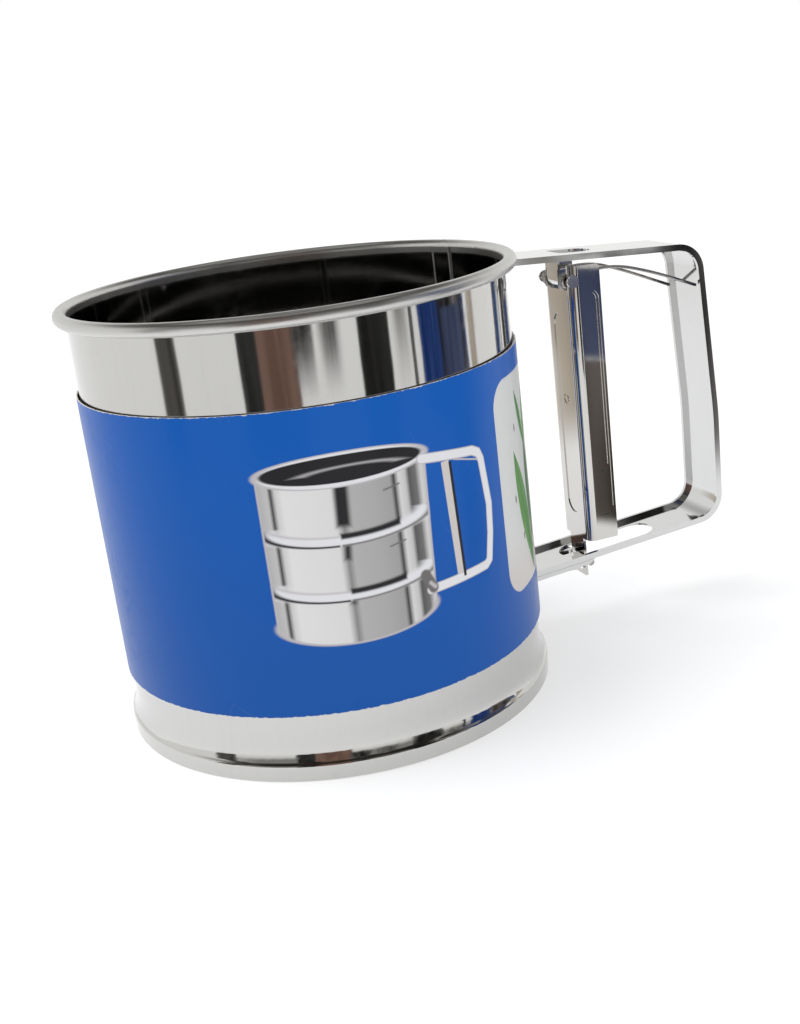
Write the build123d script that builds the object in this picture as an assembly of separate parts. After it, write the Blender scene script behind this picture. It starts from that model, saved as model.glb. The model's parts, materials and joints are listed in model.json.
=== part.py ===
"""One-hand flour sifter: a sheet-steel cup with a squeeze trigger that rocks an agitator over a wire mesh.

Frame: millimetres, +Z up along the cup's axis, origin where that axis meets the surface it stands on.
The handle points along +X. The trigger is released, so the pull rod is at its inner limit.
"""

from build123d import *
from math import asin, atan, atan2, cos, degrees, pi, radians, sin, sqrt, tan
import os

# ---- sheet and fits ------------------------------------------------------------------------------
WALL = 0.4               # cup sheet
STRAP_SHEET = 0.5        # handle strap sheet
TRIGGER_SHEET = 0.7      # trigger sheet
RUNNING_FIT = 0.05       # radial clearance of a pin or rod in its hole
SEAT_GAP = 0.05          # gap between pieces that are fixed to each other but only lie together
MOVING_GAP = 0.4         # gap between a moving piece and what it passes

# ---- cup -----------------------------------------------------------------------------------------
CUP_HEIGHT = 98.3
CUP_BORE_R = 48.5
RIM_CURL_R = 1.5         # radius of the rolled rim's tube
BEAD_HEIGHTS = (29.0, 67.0)
BEAD_PROUD = 0.4
BEAD_CURVE_R = 2.0
HEM_R = 50.4             # outside of the base hem
HEM_HEIGHT = 3.4
HEM_WIDTH = 1.1
FLARE_TOP = 8.8          # where the wall starts to flare towards the hem
FLARE_R = 49.8
SEAM_ANGLE = 22.0        # the side seam, measured from the handle
SEAM_WIDTH = 6.0
SEAM_STEP = 0.35
RIM_JOINT = 0.3

# ---- mesh and its ring ---------------------------------------------------------------------------
RING_BASE_Z = 9.0
RING_LEDGE = 2.9
RING_SHEET = 0.45
RING_HEIGHT = 3.6
MESH_SHEET = 0.4
MESH_TURN_UP = 2.9

# ---- card sleeve ---------------------------------------------------------------------------------
SLEEVE_LOW, SLEEVE_HIGH = 14.5, 79.3
SLEEVE_CARD = 0.3
SLEEVE_HALF_GAP = 11.0   # degrees left open each side of the handle

# ---- handle strap --------------------------------------------------------------------------------
STRAP_WIDTH = 15.5
STRAP_LIP = 1.5
LIP_FOLD = 0.9
STRAP_TOP_Z = 94.8       # outer face of the top run at the wall
STRAP_BOTTOM_Z = 16.2    # outer face of the bottom run at the wall
BACK_TOP = (102.0, 91.0)
BACK_BOW = (104.7, 48.0)
BACK_FOOT = (104.6, 20.5)
CORNER_R, BOW_R = 7.0, 90.0
TOP_FLANGE_LENGTH = 13.5
FOOT_FLANGE_LENGTH = 10.5
RIVET_R = 1.6
RIVET_HEAD_R = 3.1
RIVET_HEAD = 1.0
FOOT_SLOT = (61.5, 87.5)  # the slot that the trigger's tongue swings in
FOOT_SLOT_WIDTH = 9.0

# ---- trigger and its hinge -----------------------------------------------------------------------
HINGE_X, HINGE_Z = 67.0, 87.0
PIN_R = 1.0
TAB_WIDTH = 6.6
CURL_WIDTH = 5.6         # the tab is narrower where it curls, so that the spring's coils fit beside it
TAB_LENGTH = 10.0        # length of the tab's cut-out along the strap
TRIGGER_WIDTH = 14.4
TRIGGER_DEPTH = 7.9
TRIGGER_BEND_R = 2.2
TRIGGER_TOP_Z, TRIGGER_FOOT_Z = 90.6, 21.8
TONGUE_WIDTH = 7.0
TONGUE_END_Z = 11.8
EMBOSS = 0.22
THUMB_LOW = 39.3         # where the deeper inner panel of each side starts
GROOVE_WIDTH = 6.4
GROOVE_LOW, GROOVE_HIGH = 28.0, 79.0
TRIGGER_EAR_R = 1.0      # rounded top corner at the back
TRIGGER_EAR_DROP = 0.3   # how much lower the top is there, to clear the strap when the trigger swings
SPRING_WIRE_R = 0.4
SPRING_TURNS = 2
SPRING_LEG = ((79.5, 88.8), (101.2, 80.4))   # where a leg bends, and where it ends

# ---- pull rod ------------------------------------------------------------------------------------
ROD_R = 0.9
ROD_Z = 14.7
ROD_TRAVEL = 12.0
CRANK_R = 10.0           # from the axle to the rod's line
GUARD_SHEET = 0.6
GUARD_END_X = 65.6

# ---- agitator, spider and axle -------------------------------------------------------------------
AGITATOR_GAP = 4.5       # between the arms' tips and the wall
AGITATOR_ARMS = 6
AGITATOR_ARM_WIDTH = 4.6
AGITATOR_SHEET = 0.5
AGITATOR_LIP = 2.5
AGITATOR_HUB_R = 6.5
AGITATOR_HUB_RISE = 1.3
SPIDER_ARM_WIDTH = 13.0
SPIDER_RISE = 4.0
SPIDER_SHEET = 0.6
SPIDER_ARMS = (-45.0, 75.0, 195.0)
SPIDER_FILLET_R = 15.0
SPIDER_FOOT = (10.0, 7.0)
PILOT_HOLE_R, PILOT_HOLE_AT = 1.5, 5.6
AXLE_R = 1.8
AXLE_HEAD_R = 3.0
BUSH_WALL = 1.1
WASHER_R, WASHER_SHEET = 3.6, 0.4

# ---- sizes that follow ---------------------------------------------------------------------------
WALL_R = CUP_BORE_R + WALL
RIM_CENTRE_R = CUP_BORE_R + RIM_CURL_R
RIM_CENTRE_Z = CUP_HEIGHT - RIM_CURL_R
SLEEVE_R = WALL_R + BEAD_PROUD + SEAT_GAP
RING_R = CUP_BORE_R - SEAT_GAP
MESH_Z = RING_BASE_Z + RING_SHEET + SEAT_GAP
MESH_R = RING_R - RING_SHEET - SEAT_GAP
MESH_EDGE_Z = MESH_Z + MESH_TURN_UP
FLANGE_R = WALL_R + SEAT_GAP
AGITATOR_R = CUP_BORE_R - AGITATOR_GAP
ARM_Z = MESH_Z + MESH_SHEET + 2 * MOVING_GAP
ARM_TOP_Z = ARM_Z + AGITATOR_LIP
SPIDER_Z = ROD_Z + ROD_R + MOVING_GAP
SPIDER_TOP_Z = SPIDER_Z + SPIDER_RISE
HUB_Z = ARM_Z + AGITATOR_HUB_RISE
CURL_BORE_R = PIN_R + RUNNING_FIT
TRIGGER_FACE_X = HINGE_X - 0.6   # the web's outer face, towards the cup

# The rod slides along its own line, which passes the axle at CRANK_R and crosses y = 0 half way
# along the trigger tongue's travel.
ROD_CROSS_X = HINGE_X + ROD_TRAVEL / 2
ROD_SLOPE = asin(CRANK_R / ROD_CROSS_X)
CRANK_SWING = atan(ROD_TRAVEL / 2 / CRANK_R)
CRANK_REST = pi / 2 - ROD_SLOPE + CRANK_SWING


def rod_point(along):
    """A point on the rod's line, measured outwards from where it passes nearest to the axle."""
    x = CRANK_R * sin(ROD_SLOPE) + along * cos(ROD_SLOPE)
    y = CRANK_R * cos(ROD_SLOPE) - along * sin(ROD_SLOPE)
    return x, y


def rod_along(x):
    """How far out along the rod's line it crosses that x."""
    return (x - CRANK_R * sin(ROD_SLOPE)) / cos(ROD_SLOPE)


# ---- small helpers -------------------------------------------------------------------------------
def upright(radius, low, high, x=0.0, y=0.0):
    """A vertical cylinder."""
    return Pos(x, y, (low + high) / 2) * Cylinder(radius, high - low)


def tube(inner, outer, low, high):
    """A vertical tube on the cup's axis."""
    return upright(outer, low, high) - upright(inner, low - 1, high + 1)


def span(x0, x1, y0, y1, z0, z1):
    """A box between two corners."""
    return Pos((x0 + x1) / 2, (y0 + y1) / 2, (z0 + z1) / 2) * Box(x1 - x0, y1 - y0, z1 - z0)


def wedge(half_angle, reach, low, high, middle=0.0):
    """A sector block about the axis, for cutting rings to a part of their turn."""
    edge = reach / cos(radians(half_angle))
    a, b = radians(middle - half_angle), radians(middle + half_angle)
    face = make_face(Polyline((0, 0), (edge * cos(a), edge * sin(a)), (edge * cos(b), edge * sin(b)), close=True))
    return Pos(0, 0, low) * extrude(face, high - low, dir=(0, 0, 1))


def across(face, y0, y1):
    """A profile drawn in x and z, given its width across the handle from y0 to y1."""
    return extrude(Plane.XZ.offset(-y0) * face, -(y1 - y0))


def turned(face):
    """A profile drawn in radius and height, turned about the cup's axis."""
    return revolve(Plane.XZ * face, Axis.Z)


def cross_pin(radius, x, z, y0, y1):
    """A round pin across the handle."""
    return Pos(x, (y0 + y1) / 2, z) * Rot(90, 0, 0) * Cylinder(radius, y1 - y0)


def offset_corners(points, inward):
    """The corners of an open outline moved inwards, to the right of its direction of travel."""
    lines = []
    for (x0, z0), (x1, z1) in zip(points, points[1:]):
        run = sqrt((x1 - x0) ** 2 + (z1 - z0) ** 2)
        nx, nz = (z1 - z0) / run * inward, -(x1 - x0) / run * inward
        lines.append(((x0 + nx, z0 + nz), (x1 + nx, z1 + nz)))
    moved = [lines[0][0]]
    for (p, q), (r, s) in zip(lines, lines[1:]):
        dx1, dz1, dx2, dz2 = q[0] - p[0], q[1] - p[1], s[0] - r[0], s[1] - r[1]
        t = ((r[0] - p[0]) * dz2 - (r[1] - p[1]) * dx2) / (dx1 * dz2 - dz1 * dx2)
        moved.append((p[0] + t * dx1, p[1] + t * dz1))
    return moved + [lines[-1][1]]


# ---- cup pieces ----------------------------------------------------------------------------------
def body_shell():
    """The cup: wall with two outward beads, curled rim, flared and hemmed base, lapped seam."""
    wall_top = RIM_CENTRE_Z
    profile = Pos((CUP_BORE_R + WALL_R) / 2, (FLARE_TOP + wall_top) / 2) * Rectangle(WALL, wall_top - FLARE_TOP)
    for z in BEAD_HEIGHTS:
        centre = Pos(WALL_R + BEAD_PROUD - BEAD_CURVE_R, z)
        keep = Pos(CUP_BORE_R + BEAD_CURVE_R, z) * Rectangle(2 * BEAD_CURVE_R, 4 * BEAD_CURVE_R)
        profile = profile + (centre * Circle(BEAD_CURVE_R)) & (profile + keep)
        profile = profile - centre * Circle(BEAD_CURVE_R - WALL)
    shell = turned(profile)
    shell += turned(rim_curl_profile())
    shell += turned(base_profile())
    seam_low = RING_BASE_Z + RING_HEIGHT + MOVING_GAP
    seam = tube(CUP_BORE_R - SEAM_STEP, CUP_BORE_R + WALL / 2, seam_low, wall_top)
    half = degrees(SEAM_WIDTH / 2 / CUP_BORE_R)
    shell += seam & wedge(half, 2 * CUP_BORE_R, seam_low, wall_top, SEAM_ANGLE)
    joint = span(WALL_R + 0.3, WALL_R + 9, -RIM_JOINT / 2, RIM_JOINT / 2, RIM_CENTRE_Z - 9, CUP_HEIGHT + 1)
    shell -= Rot(0, 0, SEAM_ANGLE) * joint
    for z in rivet_heights():
        shell -= Pos(WALL_R, 0, z) * Rot(0, 90, 0) * Cylinder(RIVET_R + SEAT_GAP, 8)
    return shell - rod_line(ROD_R + RUNNING_FIT, CUP_BORE_R - 6, WALL_R + 4)


def rim_curl_profile():
    """The rolled rim's section: a C of sheet that starts at the wall and stops short of it again."""
    ring = Circle(RIM_CURL_R) - Circle(RIM_CURL_R - WALL)
    reach = 3 * RIM_CURL_R
    a, b = radians(182), radians(232)
    gap = make_face(Polyline((0, 0), (reach * cos(a), reach * sin(a)), (reach * cos(b), reach * sin(b)), close=True))
    return Pos(RIM_CENTRE_R, RIM_CENTRE_Z) * (ring - gap)


def base_profile():
    """The wall's flare, the step out to the hem and the hem's flat foot."""
    outer = Bezier((WALL_R, FLARE_TOP), (WALL_R, HEM_HEIGHT + 2.6), (FLARE_R - 0.3, HEM_HEIGHT + 1.2),
                   (FLARE_R, HEM_HEIGHT + 0.6))
    step = Bezier((FLARE_R, HEM_HEIGHT + 0.6), (FLARE_R + 0.2, HEM_HEIGHT + 0.2), (HEM_R, HEM_HEIGHT + 0.2),
                  (HEM_R, HEM_HEIGHT - 0.4))
    inner_r = HEM_R - HEM_WIDTH
    inner = Bezier((inner_r, HEM_HEIGHT), (inner_r, HEM_HEIGHT + 1.6), (CUP_BORE_R, HEM_HEIGHT + 2.6),
                   (CUP_BORE_R, FLARE_TOP))
    foot_line = Polyline((HEM_R, HEM_HEIGHT - 0.4), (HEM_R, 0), (inner_r, 0), (inner_r, HEM_HEIGHT))
    lid = Line((CUP_BORE_R, FLARE_TOP), (WALL_R, FLARE_TOP))
    return make_face([outer, step, foot_line, inner, lid])


def rivet_heights():
    """Where the strap's two flanges are riveted to the wall."""
    return STRAP_TOP_Z - TOP_FLANGE_LENGTH * 0.6, STRAP_BOTTOM_Z + FOOT_FLANGE_LENGTH * 0.56


def card_sleeve():
    """The printed card round the cup, open at the handle."""
    ring = tube(SLEEVE_R, SLEEVE_R + SLEEVE_CARD, SLEEVE_LOW, SLEEVE_HIGH)
    return ring - wedge(SLEEVE_HALF_GAP, 2 * SLEEVE_R, SLEEVE_LOW - 1, SLEEVE_HIGH + 1)


def screen_ring():
    """The ledge ring that carries the mesh, pressed into the base of the wall."""
    leg = tube(RING_R - RING_SHEET, RING_R, RING_BASE_Z, RING_BASE_Z + RING_HEIGHT)
    return leg + tube(RING_R - RING_LEDGE, RING_R, RING_BASE_Z, RING_BASE_Z + RING_SHEET)


def mesh_screen():
    """The wire mesh, as a plain sheet with its turned-up edge."""
    pan = upright(MESH_R, MESH_Z, MESH_EDGE_Z)
    return pan - upright(MESH_R - MESH_SHEET, MESH_Z + MESH_SHEET, MESH_EDGE_Z + 1)


# ---- handle pieces -------------------------------------------------------------------------------
def strap_outline():
    """The outer face of the handle strap, from the wall round the back to the wall."""
    return [(WALL_R, STRAP_TOP_Z), BACK_TOP, BACK_BOW, BACK_FOOT, (WALL_R, STRAP_BOTTOM_Z)]


def strap_band(depth):
    """The strap's side profile between its outer face and that depth inwards."""
    outer, inner = strap_outline(), offset_corners(strap_outline(), depth)
    bends = (CORNER_R, BOW_R, CORNER_R)
    out_line = FilletPolyline(*outer, radius=list(bends))
    in_line = FilletPolyline(*inner, radius=[r - depth for r in bends])
    ends = [Line(outer[0], inner[0]), Line(outer[-1], inner[-1])]
    return make_face([*out_line.edges(), *in_line.edges(), *ends])


def handle_strap():
    """The handle: a lipped strip bent to a loop, with riveted flanges, the trigger's tab and slot."""
    half = STRAP_WIDTH / 2
    lips = strap_band(STRAP_LIP)
    strap = across(strap_band(STRAP_SHEET), -half, half)
    strap += across(lips, -half, LIP_FOLD - half) + across(lips, half - LIP_FOLD, half)
    strap = strap - upright(FLANGE_R, STRAP_BOTTOM_Z - 5, STRAP_TOP_Z + 5)
    for low, high in ((STRAP_TOP_Z - TOP_FLANGE_LENGTH, STRAP_TOP_Z), (STRAP_BOTTOM_Z, STRAP_BOTTOM_Z + FOOT_FLANGE_LENGTH)):
        strap += flange(low, high)
    slot_low, slot_high = FOOT_SLOT
    strap -= slot_cut(slot_low, slot_high, FOOT_SLOT_WIDTH, STRAP_BOTTOM_Z - 3, STRAP_BOTTOM_Z + 12)
    tab_root = HINGE_X - CURL_BORE_R - STRAP_SHEET
    strap -= tab_cut(tab_root)
    strap += trigger_tab(tab_root)
    for z in rivet_heights():
        strap -= Pos(WALL_R, 0, z) * Rot(0, 90, 0) * Cylinder(RIVET_R + SEAT_GAP, 8)
    return strap


def flange(low, high):
    """A strap end laid against the round wall."""
    half = degrees(asin(STRAP_WIDTH / 2 / WALL_R))
    return tube(FLANGE_R, FLANGE_R + STRAP_SHEET, low, high) & wedge(half, 2 * WALL_R, low, high)


def slot_cut(x0, x1, width, low, high):
    """A vertical cutter with rounded ends along the handle."""
    r = width / 2
    return span(x0 + r, x1 - r, -r, r, low, high) + upright(r, low, high, x0 + r) + upright(r, low, high, x1 - r)


def tab_cut(root):
    """The opening that the tab leaves: square at its root, rounded at the far end."""
    r = TAB_WIDTH / 2 + MOVING_GAP
    low, high = HINGE_Z + 3, STRAP_TOP_Z + 2
    end = root + TAB_LENGTH
    return span(root + STRAP_SHEET, end - r, -r, r, low, high) + upright(r, low, high, end - r)


def trigger_tab(root):
    """The tab bent down from the top run, narrowed, and curled round the hinge pin."""
    wide, half = TAB_WIDTH / 2, CURL_WIDTH / 2
    roof = STRAP_TOP_Z - (root - WALL_R) * (STRAP_TOP_Z - BACK_TOP[1]) / (BACK_TOP[0] - WALL_R)
    shoulder = HINGE_Z + CURL_BORE_R + 2 * SPRING_WIRE_R + 2 * MOVING_GAP
    outer = CURL_BORE_R + STRAP_SHEET
    curl = Pos(HINGE_X, HINGE_Z) * (Circle(outer) - Circle(CURL_BORE_R))
    curl -= Pos(HINGE_X - outer / 2, HINGE_Z + outer) * Rectangle(3 * outer, 2 * outer)
    tab = span(root, root + STRAP_SHEET, -half, half, HINGE_Z - 0.02, roof - 0.1)
    tab += span(root, root + STRAP_SHEET, -wide, wide, shoulder, roof - 0.1)
    return tab + across(curl, -half, half)


def handle_rivets():
    """The two rivets that hold the strap's flanges: domed inside the cup, flat outside."""
    rivets = []
    for z in rivet_heights():
        inside = CUP_BORE_R - SEAT_GAP
        outside = FLANGE_R + STRAP_SHEET + SEAT_GAP
        dome_r = (RIVET_HEAD_R**2 + RIVET_HEAD**2) / (2 * RIVET_HEAD)
        dome = Sphere(dome_r) & Pos(0, 0, dome_r) * Box(2 * RIVET_HEAD_R, 2 * RIVET_HEAD_R, 2 * RIVET_HEAD)
        dome = Pos(inside + dome_r - RIVET_HEAD, 0, 0) * Rot(0, -90, 0) * dome
        saddle = inside - (CUP_BORE_R - sqrt(CUP_BORE_R**2 - RIVET_HEAD_R**2))
        dome = dome & Pos(saddle - RIVET_HEAD_R, 0, 0) * Box(2 * RIVET_HEAD_R, 9, 9)
        shank = Pos((saddle - 0.3 + outside + RIVET_HEAD) / 2, 0, 0) * Rot(0, 90, 0) * Cylinder(
            RIVET_R, outside + RIVET_HEAD - saddle + 0.3)
        head = Pos(outside + RIVET_HEAD / 2, 0, 0) * Rot(0, 90, 0) * Cylinder(RIVET_HEAD_R - 0.4, RIVET_HEAD)
        rivets.append(Pos(0, 0, z) * (dome + shank + head))
    return Compound(children=rivets)


def rod_guard():
    """The strip under the handle's bottom run, with a trough that the pull rod slides in."""
    half = STRAP_WIDTH / 2
    rise = (BACK_FOOT[1] - STRAP_BOTTOM_Z) / (BACK_FOOT[0] - WALL_R)
    x0, x1 = WALL_R + SEAT_GAP, GUARD_END_X
    lip_x = x1 + 1.6
    top0, top1, top2 = (STRAP_BOTTOM_Z + (x - WALL_R) * rise - SEAT_GAP for x in (x0, x1, lip_x))
    plate = across(make_face(Polyline((x0, top0), (lip_x, top2), (x1, top1 - 1.1), (x0, top0 - 1.1), close=True)), -half, half)
    inner = ROD_R + MOVING_GAP
    floor = ROD_Z - inner
    trough = guard_block(inner + GUARD_SHEET, floor - GUARD_SHEET, top0, x0 - 4, x1)
    guard = plate + trough
    guard -= guard_block(inner, floor, STRAP_BOTTOM_Z + 9, x0 - 5, x1 + 5)
    guard -= span(TRIGGER_FACE_X - MOVING_GAP, lip_x + 1, -TONGUE_WIDTH, TONGUE_WIDTH, 0, 30)
    return guard - upright(WALL_R + SEAT_GAP, 0, 30)


def guard_block(half_width, low, high, x0, x1):
    """A straight block along the rod's line."""
    a0, a1 = rod_along(x0), rod_along(x1)
    x, y = rod_point((a0 + a1) / 2)
    return Pos(x, y, (low + high) / 2) * Rot(0, 0, -degrees(ROD_SLOPE)) * Box(a1 - a0, 2 * half_width, high - low)


# ---- trigger pieces ------------------------------------------------------------------------------
def trigger():
    """The squeezed lever: a U channel with pressed grooves, hung on its pin, with a tongue below."""
    half, back = TRIGGER_WIDTH / 2, TRIGGER_FACE_X + TRIGGER_DEPTH
    outer = channel_outline(TRIGGER_FACE_X, back, half, TRIGGER_BEND_R)
    inner = channel_outline(TRIGGER_FACE_X + TRIGGER_SHEET, back + 1, half - TRIGGER_SHEET,
                            TRIGGER_BEND_R - TRIGGER_SHEET)
    body = Pos(0, 0, TRIGGER_FOOT_Z) * extrude(outer - inner, TRIGGER_TOP_Z - TRIGGER_FOOT_Z)
    body -= stadium_x(TRIGGER_FACE_X, EMBOSS, GROOVE_WIDTH, GROOVE_LOW, GROOVE_HIGH)
    side_r = (TRIGGER_DEPTH - TRIGGER_BEND_R) / 2 - 0.3
    side_x = TRIGGER_FACE_X + TRIGGER_BEND_R + side_r
    for side in (-1, 1):
        pocket = side_pocket(side_x, side_r, EMBOSS, GROOVE_LOW) + side_pocket(side_x, side_r - 0.6, 2 * EMBOSS, THUMB_LOW)
        body -= Pos(0, side * half, 0) * pocket
    window = coil_span()[1] + 2 * MOVING_GAP
    low = HINGE_Z - PIN_R - 2 * SPRING_WIRE_R - MOVING_GAP
    body -= span(TRIGGER_FACE_X - 1, TRIGGER_FACE_X + TRIGGER_SHEET + 0.01, -window, window, low, TRIGGER_TOP_Z + 1)
    body &= ear_profile(back)
    body += tongue()
    dimple_z = (GROOVE_LOW + GROOVE_HIGH) / 2 + 4
    body -= Pos(TRIGGER_FACE_X + EMBOSS, 0, dimple_z) * Rot(0, 90, 0) * (Cylinder(1.3, 0.3) - Cylinder(0.8, 0.3))
    return body - cross_pin(PIN_R, HINGE_X, HINGE_Z, -half - 1, half + 1)


def ear_profile(back):
    """The trigger's side view, with its rear corners rounded."""
    corners = [
        (TRIGGER_FACE_X, TRIGGER_FOOT_Z),
        (back, TRIGGER_FOOT_Z),
        (back, TRIGGER_TOP_Z - TRIGGER_EAR_DROP),
        (TRIGGER_FACE_X, TRIGGER_TOP_Z),
    ]
    block = make_face(Polyline(*corners, close=True))
    block = fillet(block.vertices().sort_by(Axis.X)[-2:].sort_by(Axis.Y)[-1], TRIGGER_EAR_R)
    block = fillet(block.vertices().sort_by(Axis.Y)[:2].sort_by(Axis.X)[-1], TRIGGER_EAR_R / 2)
    return across(block, -TRIGGER_WIDTH, TRIGGER_WIDTH)


def coil_span():
    """Where one coil of the return spring lies along the hinge pin."""
    start = CURL_WIDTH / 2 + 0.15
    return start, start + 2 * SPRING_WIRE_R * SPRING_TURNS


def channel_outline(x0, x1, half, bend):
    """A U section seen from above, closed towards the cup by a web with rounded bends."""
    block = Pos((x0 + x1) / 2, 0) * Rectangle(x1 - x0, 2 * half)
    return fillet(block.vertices().group_by(Axis.X)[0], bend)


def side_pocket(x, r, depth, low):
    """A shallow upright recess with round ends, pressed into a side of the trigger."""
    high = GROOVE_HIGH + 3
    ends = cross_pin(r, x, low + r, -depth, depth) + cross_pin(r, x, high, -depth, depth)
    return span(x - r, x + r, -depth, depth, low + r, high) + ends


def stadium_x(x, depth, width, low, high):
    """A shallow upright groove with round ends, pressed into a face that looks towards the cup."""
    r = width / 2
    ends = [Pos(x, 0, z) * Rot(0, 90, 0) * Cylinder(r, 2 * depth) for z in (low + r, high - r)]
    return span(x - depth, x + depth, -r, r, low + r, high - r) + ends[0] + ends[1]


def tongue():
    """The web's narrow foot, with the hole that the rod's hooked end pulls on."""
    half = TONGUE_WIDTH / 2
    x0, x1 = TRIGGER_FACE_X, TRIGGER_FACE_X + TRIGGER_SHEET
    plate = span(x0, x1, -half, half, TONGUE_END_Z, TRIGGER_FOOT_Z + 1)
    drop = (HINGE_Z - ROD_Z) * (1 - cos(asin(ROD_TRAVEL / (HINGE_Z - ROD_Z))))
    reach = ROD_TRAVEL / 2 * sin(ROD_SLOPE) + ROD_R + 0.2
    hole = span(x0 - 1, x1 + 1, -reach, reach, ROD_Z - ROD_R - drop - 0.3, ROD_Z + ROD_R + 0.3)
    return plate - hole


def trigger_pin():
    """The hinge pin, headed at both ends."""
    half = TRIGGER_WIDTH / 2
    pin = cross_pin(PIN_R, HINGE_X, HINGE_Z, -half - 0.5, half + 0.5)
    for side in (-1, 1):
        y = side * (half + SEAT_GAP)
        low, high = sorted((y, y + side * 0.45))
        pin += cross_pin(PIN_R + 0.5, HINGE_X, HINGE_Z, low, high)
    return pin


def return_spring():
    """The double torsion spring: two coils on the pin, a bridge on the web and two long legs."""
    coil_in = PIN_R + 0.15
    coil_out = coil_in + 2 * SPRING_WIRE_R
    inner_y, outer_y = coil_span()
    bridge_x = TRIGGER_FACE_X + TRIGGER_SHEET + SPRING_WIRE_R + 0.1
    bridge_z = HINGE_Z - 9
    leg_y = TRIGGER_WIDTH / 2 - TRIGGER_SHEET - 1.2
    spring = coil_pair(coil_out)
    path = []
    for side in (-1, 1):
        root = (HINGE_X + coil_out - SPRING_WIRE_R, side * (inner_y + SPRING_WIRE_R), HINGE_Z)
        corner = (bridge_x, side * (inner_y + SPRING_WIRE_R), bridge_z)
        path += [(root, corner), (corner, (bridge_x, 0, bridge_z))]
        start = (HINGE_X, side * (outer_y - SPRING_WIRE_R), HINGE_Z + coil_out - SPRING_WIRE_R)
        bend, tip = [(x, side * leg_y, z) for x, z in SPRING_LEG]
        path += [(start, bend), (bend, tip)]
    for start, end in path:
        spring += rod_between(start, end, SPRING_WIRE_R) + Pos(*end) * Sphere(SPRING_WIRE_R)
    return spring - cross_pin(coil_in, HINGE_X, HINGE_Z, -outer_y - 1, outer_y + 1)


def coil_pair(radius):
    """The two close-wound coils, as plain cylinders."""
    low, high = coil_span()
    return cross_pin(radius, HINGE_X, HINGE_Z, low, high) + cross_pin(radius, HINGE_X, HINGE_Z, -high, -low)


def rod_between(start, end, radius):
    """A straight length of round wire."""
    line = Line(start, end)
    return sweep(Plane(origin=start, z_dir=line % 0) * Circle(radius), path=line)


# ---- rod, agitator, spider and axle --------------------------------------------------------------
def rod_line(radius, x0, x1):
    """A cylinder on the rod's line between two stations."""
    a0, a1 = rod_along(x0), rod_along(x1)
    return rod_between((*rod_point(a0), ROD_Z), (*rod_point(a1), ROD_Z), radius)


def pull_rod():
    """The bent wire from the trigger's tongue to the agitator: a hook at each end."""
    bend = 2.0
    tongue_back = TRIGGER_FACE_X + TRIGGER_SHEET + MOVING_GAP + ROD_R
    outer, inner = rod_along(tongue_back), -ROD_TRAVEL / 2
    hook_y = 3.6
    (xi, yi), (xo, yo) = rod_point(inner), rod_point(outer)
    path = FilletPolyline((xi, yi, ARM_Z - 0.2), (xi, yi, ROD_Z), (xo, yo, ROD_Z), (xo, yo - hook_y, ROD_Z), radius=ROD_R + 0.15)
    section = Plane(origin=path @ 0, z_dir=path % 0) * Circle(ROD_R)
    return sweep(section, path=path)


def agitator():
    """The six-armed star that rocks over the mesh, with the crank slot in one arm."""
    hub_top = HUB_Z + AGITATOR_SHEET
    skirt_r = AGITATOR_HUB_R + 2.2
    skirt = make_face(Polyline((0, HUB_Z), (AGITATOR_HUB_R, HUB_Z), (skirt_r, ARM_Z), (skirt_r + 0.8, ARM_Z),
                               (skirt_r + 0.8, ARM_Z + AGITATOR_SHEET), (skirt_r + 0.2, ARM_Z + AGITATOR_SHEET),
                               (AGITATOR_HUB_R + 0.2, hub_top), (0, hub_top), close=True))
    star = turned(skirt)
    for i in range(AGITATOR_ARMS):
        star += Rot(0, 0, degrees(CRANK_REST) + i * 360 / AGITATOR_ARMS) * agitator_arm(skirt_r)
    slot_in = CRANK_R - ROD_R - 0.3
    slot_out = sqrt(CRANK_R**2 + (ROD_TRAVEL / 2) ** 2) + ROD_R + 0.3
    slot = slot_cut(slot_in, slot_out, 2 * (ROD_R + 0.32), ARM_Z - 2, ARM_TOP_Z + 2)
    star -= Rot(0, 0, degrees(CRANK_REST)) * slot
    return star - upright(AXLE_R + RUNNING_FIT, HUB_Z - 1, hub_top + 1)


def agitator_arm(root):
    """One trough-shaped arm along +X, closed and rounded at its tip."""
    half = AGITATOR_ARM_WIDTH / 2
    outside = span(root, AGITATOR_R - half, -half, half, ARM_Z, ARM_TOP_Z) + upright(half, ARM_Z, ARM_TOP_Z, AGITATOR_R - half)
    slim = half - AGITATOR_SHEET
    floor = ARM_Z + AGITATOR_SHEET
    trough = span(root - 1, AGITATOR_R - half, -slim, slim, floor, ARM_TOP_Z + 1) + upright(
        slim, floor, ARM_TOP_Z + 1, AGITATOR_R - half)
    return outside - trough


def spider_outline(half_width, fillet_r, reach):
    """The bridge seen from above: three straight arms with large concave fillets between them."""
    star = None
    for angle in SPIDER_ARMS:
        arm = Rot(0, 0, angle) * Pos(reach / 2, 0) * Rectangle(reach, 2 * half_width)
        star = arm if star is None else star + arm
    inside = [v for v in star.vertices() if sqrt(v.X**2 + v.Y**2) < reach / 2]
    return fillet(inside, fillet_r)


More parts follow.
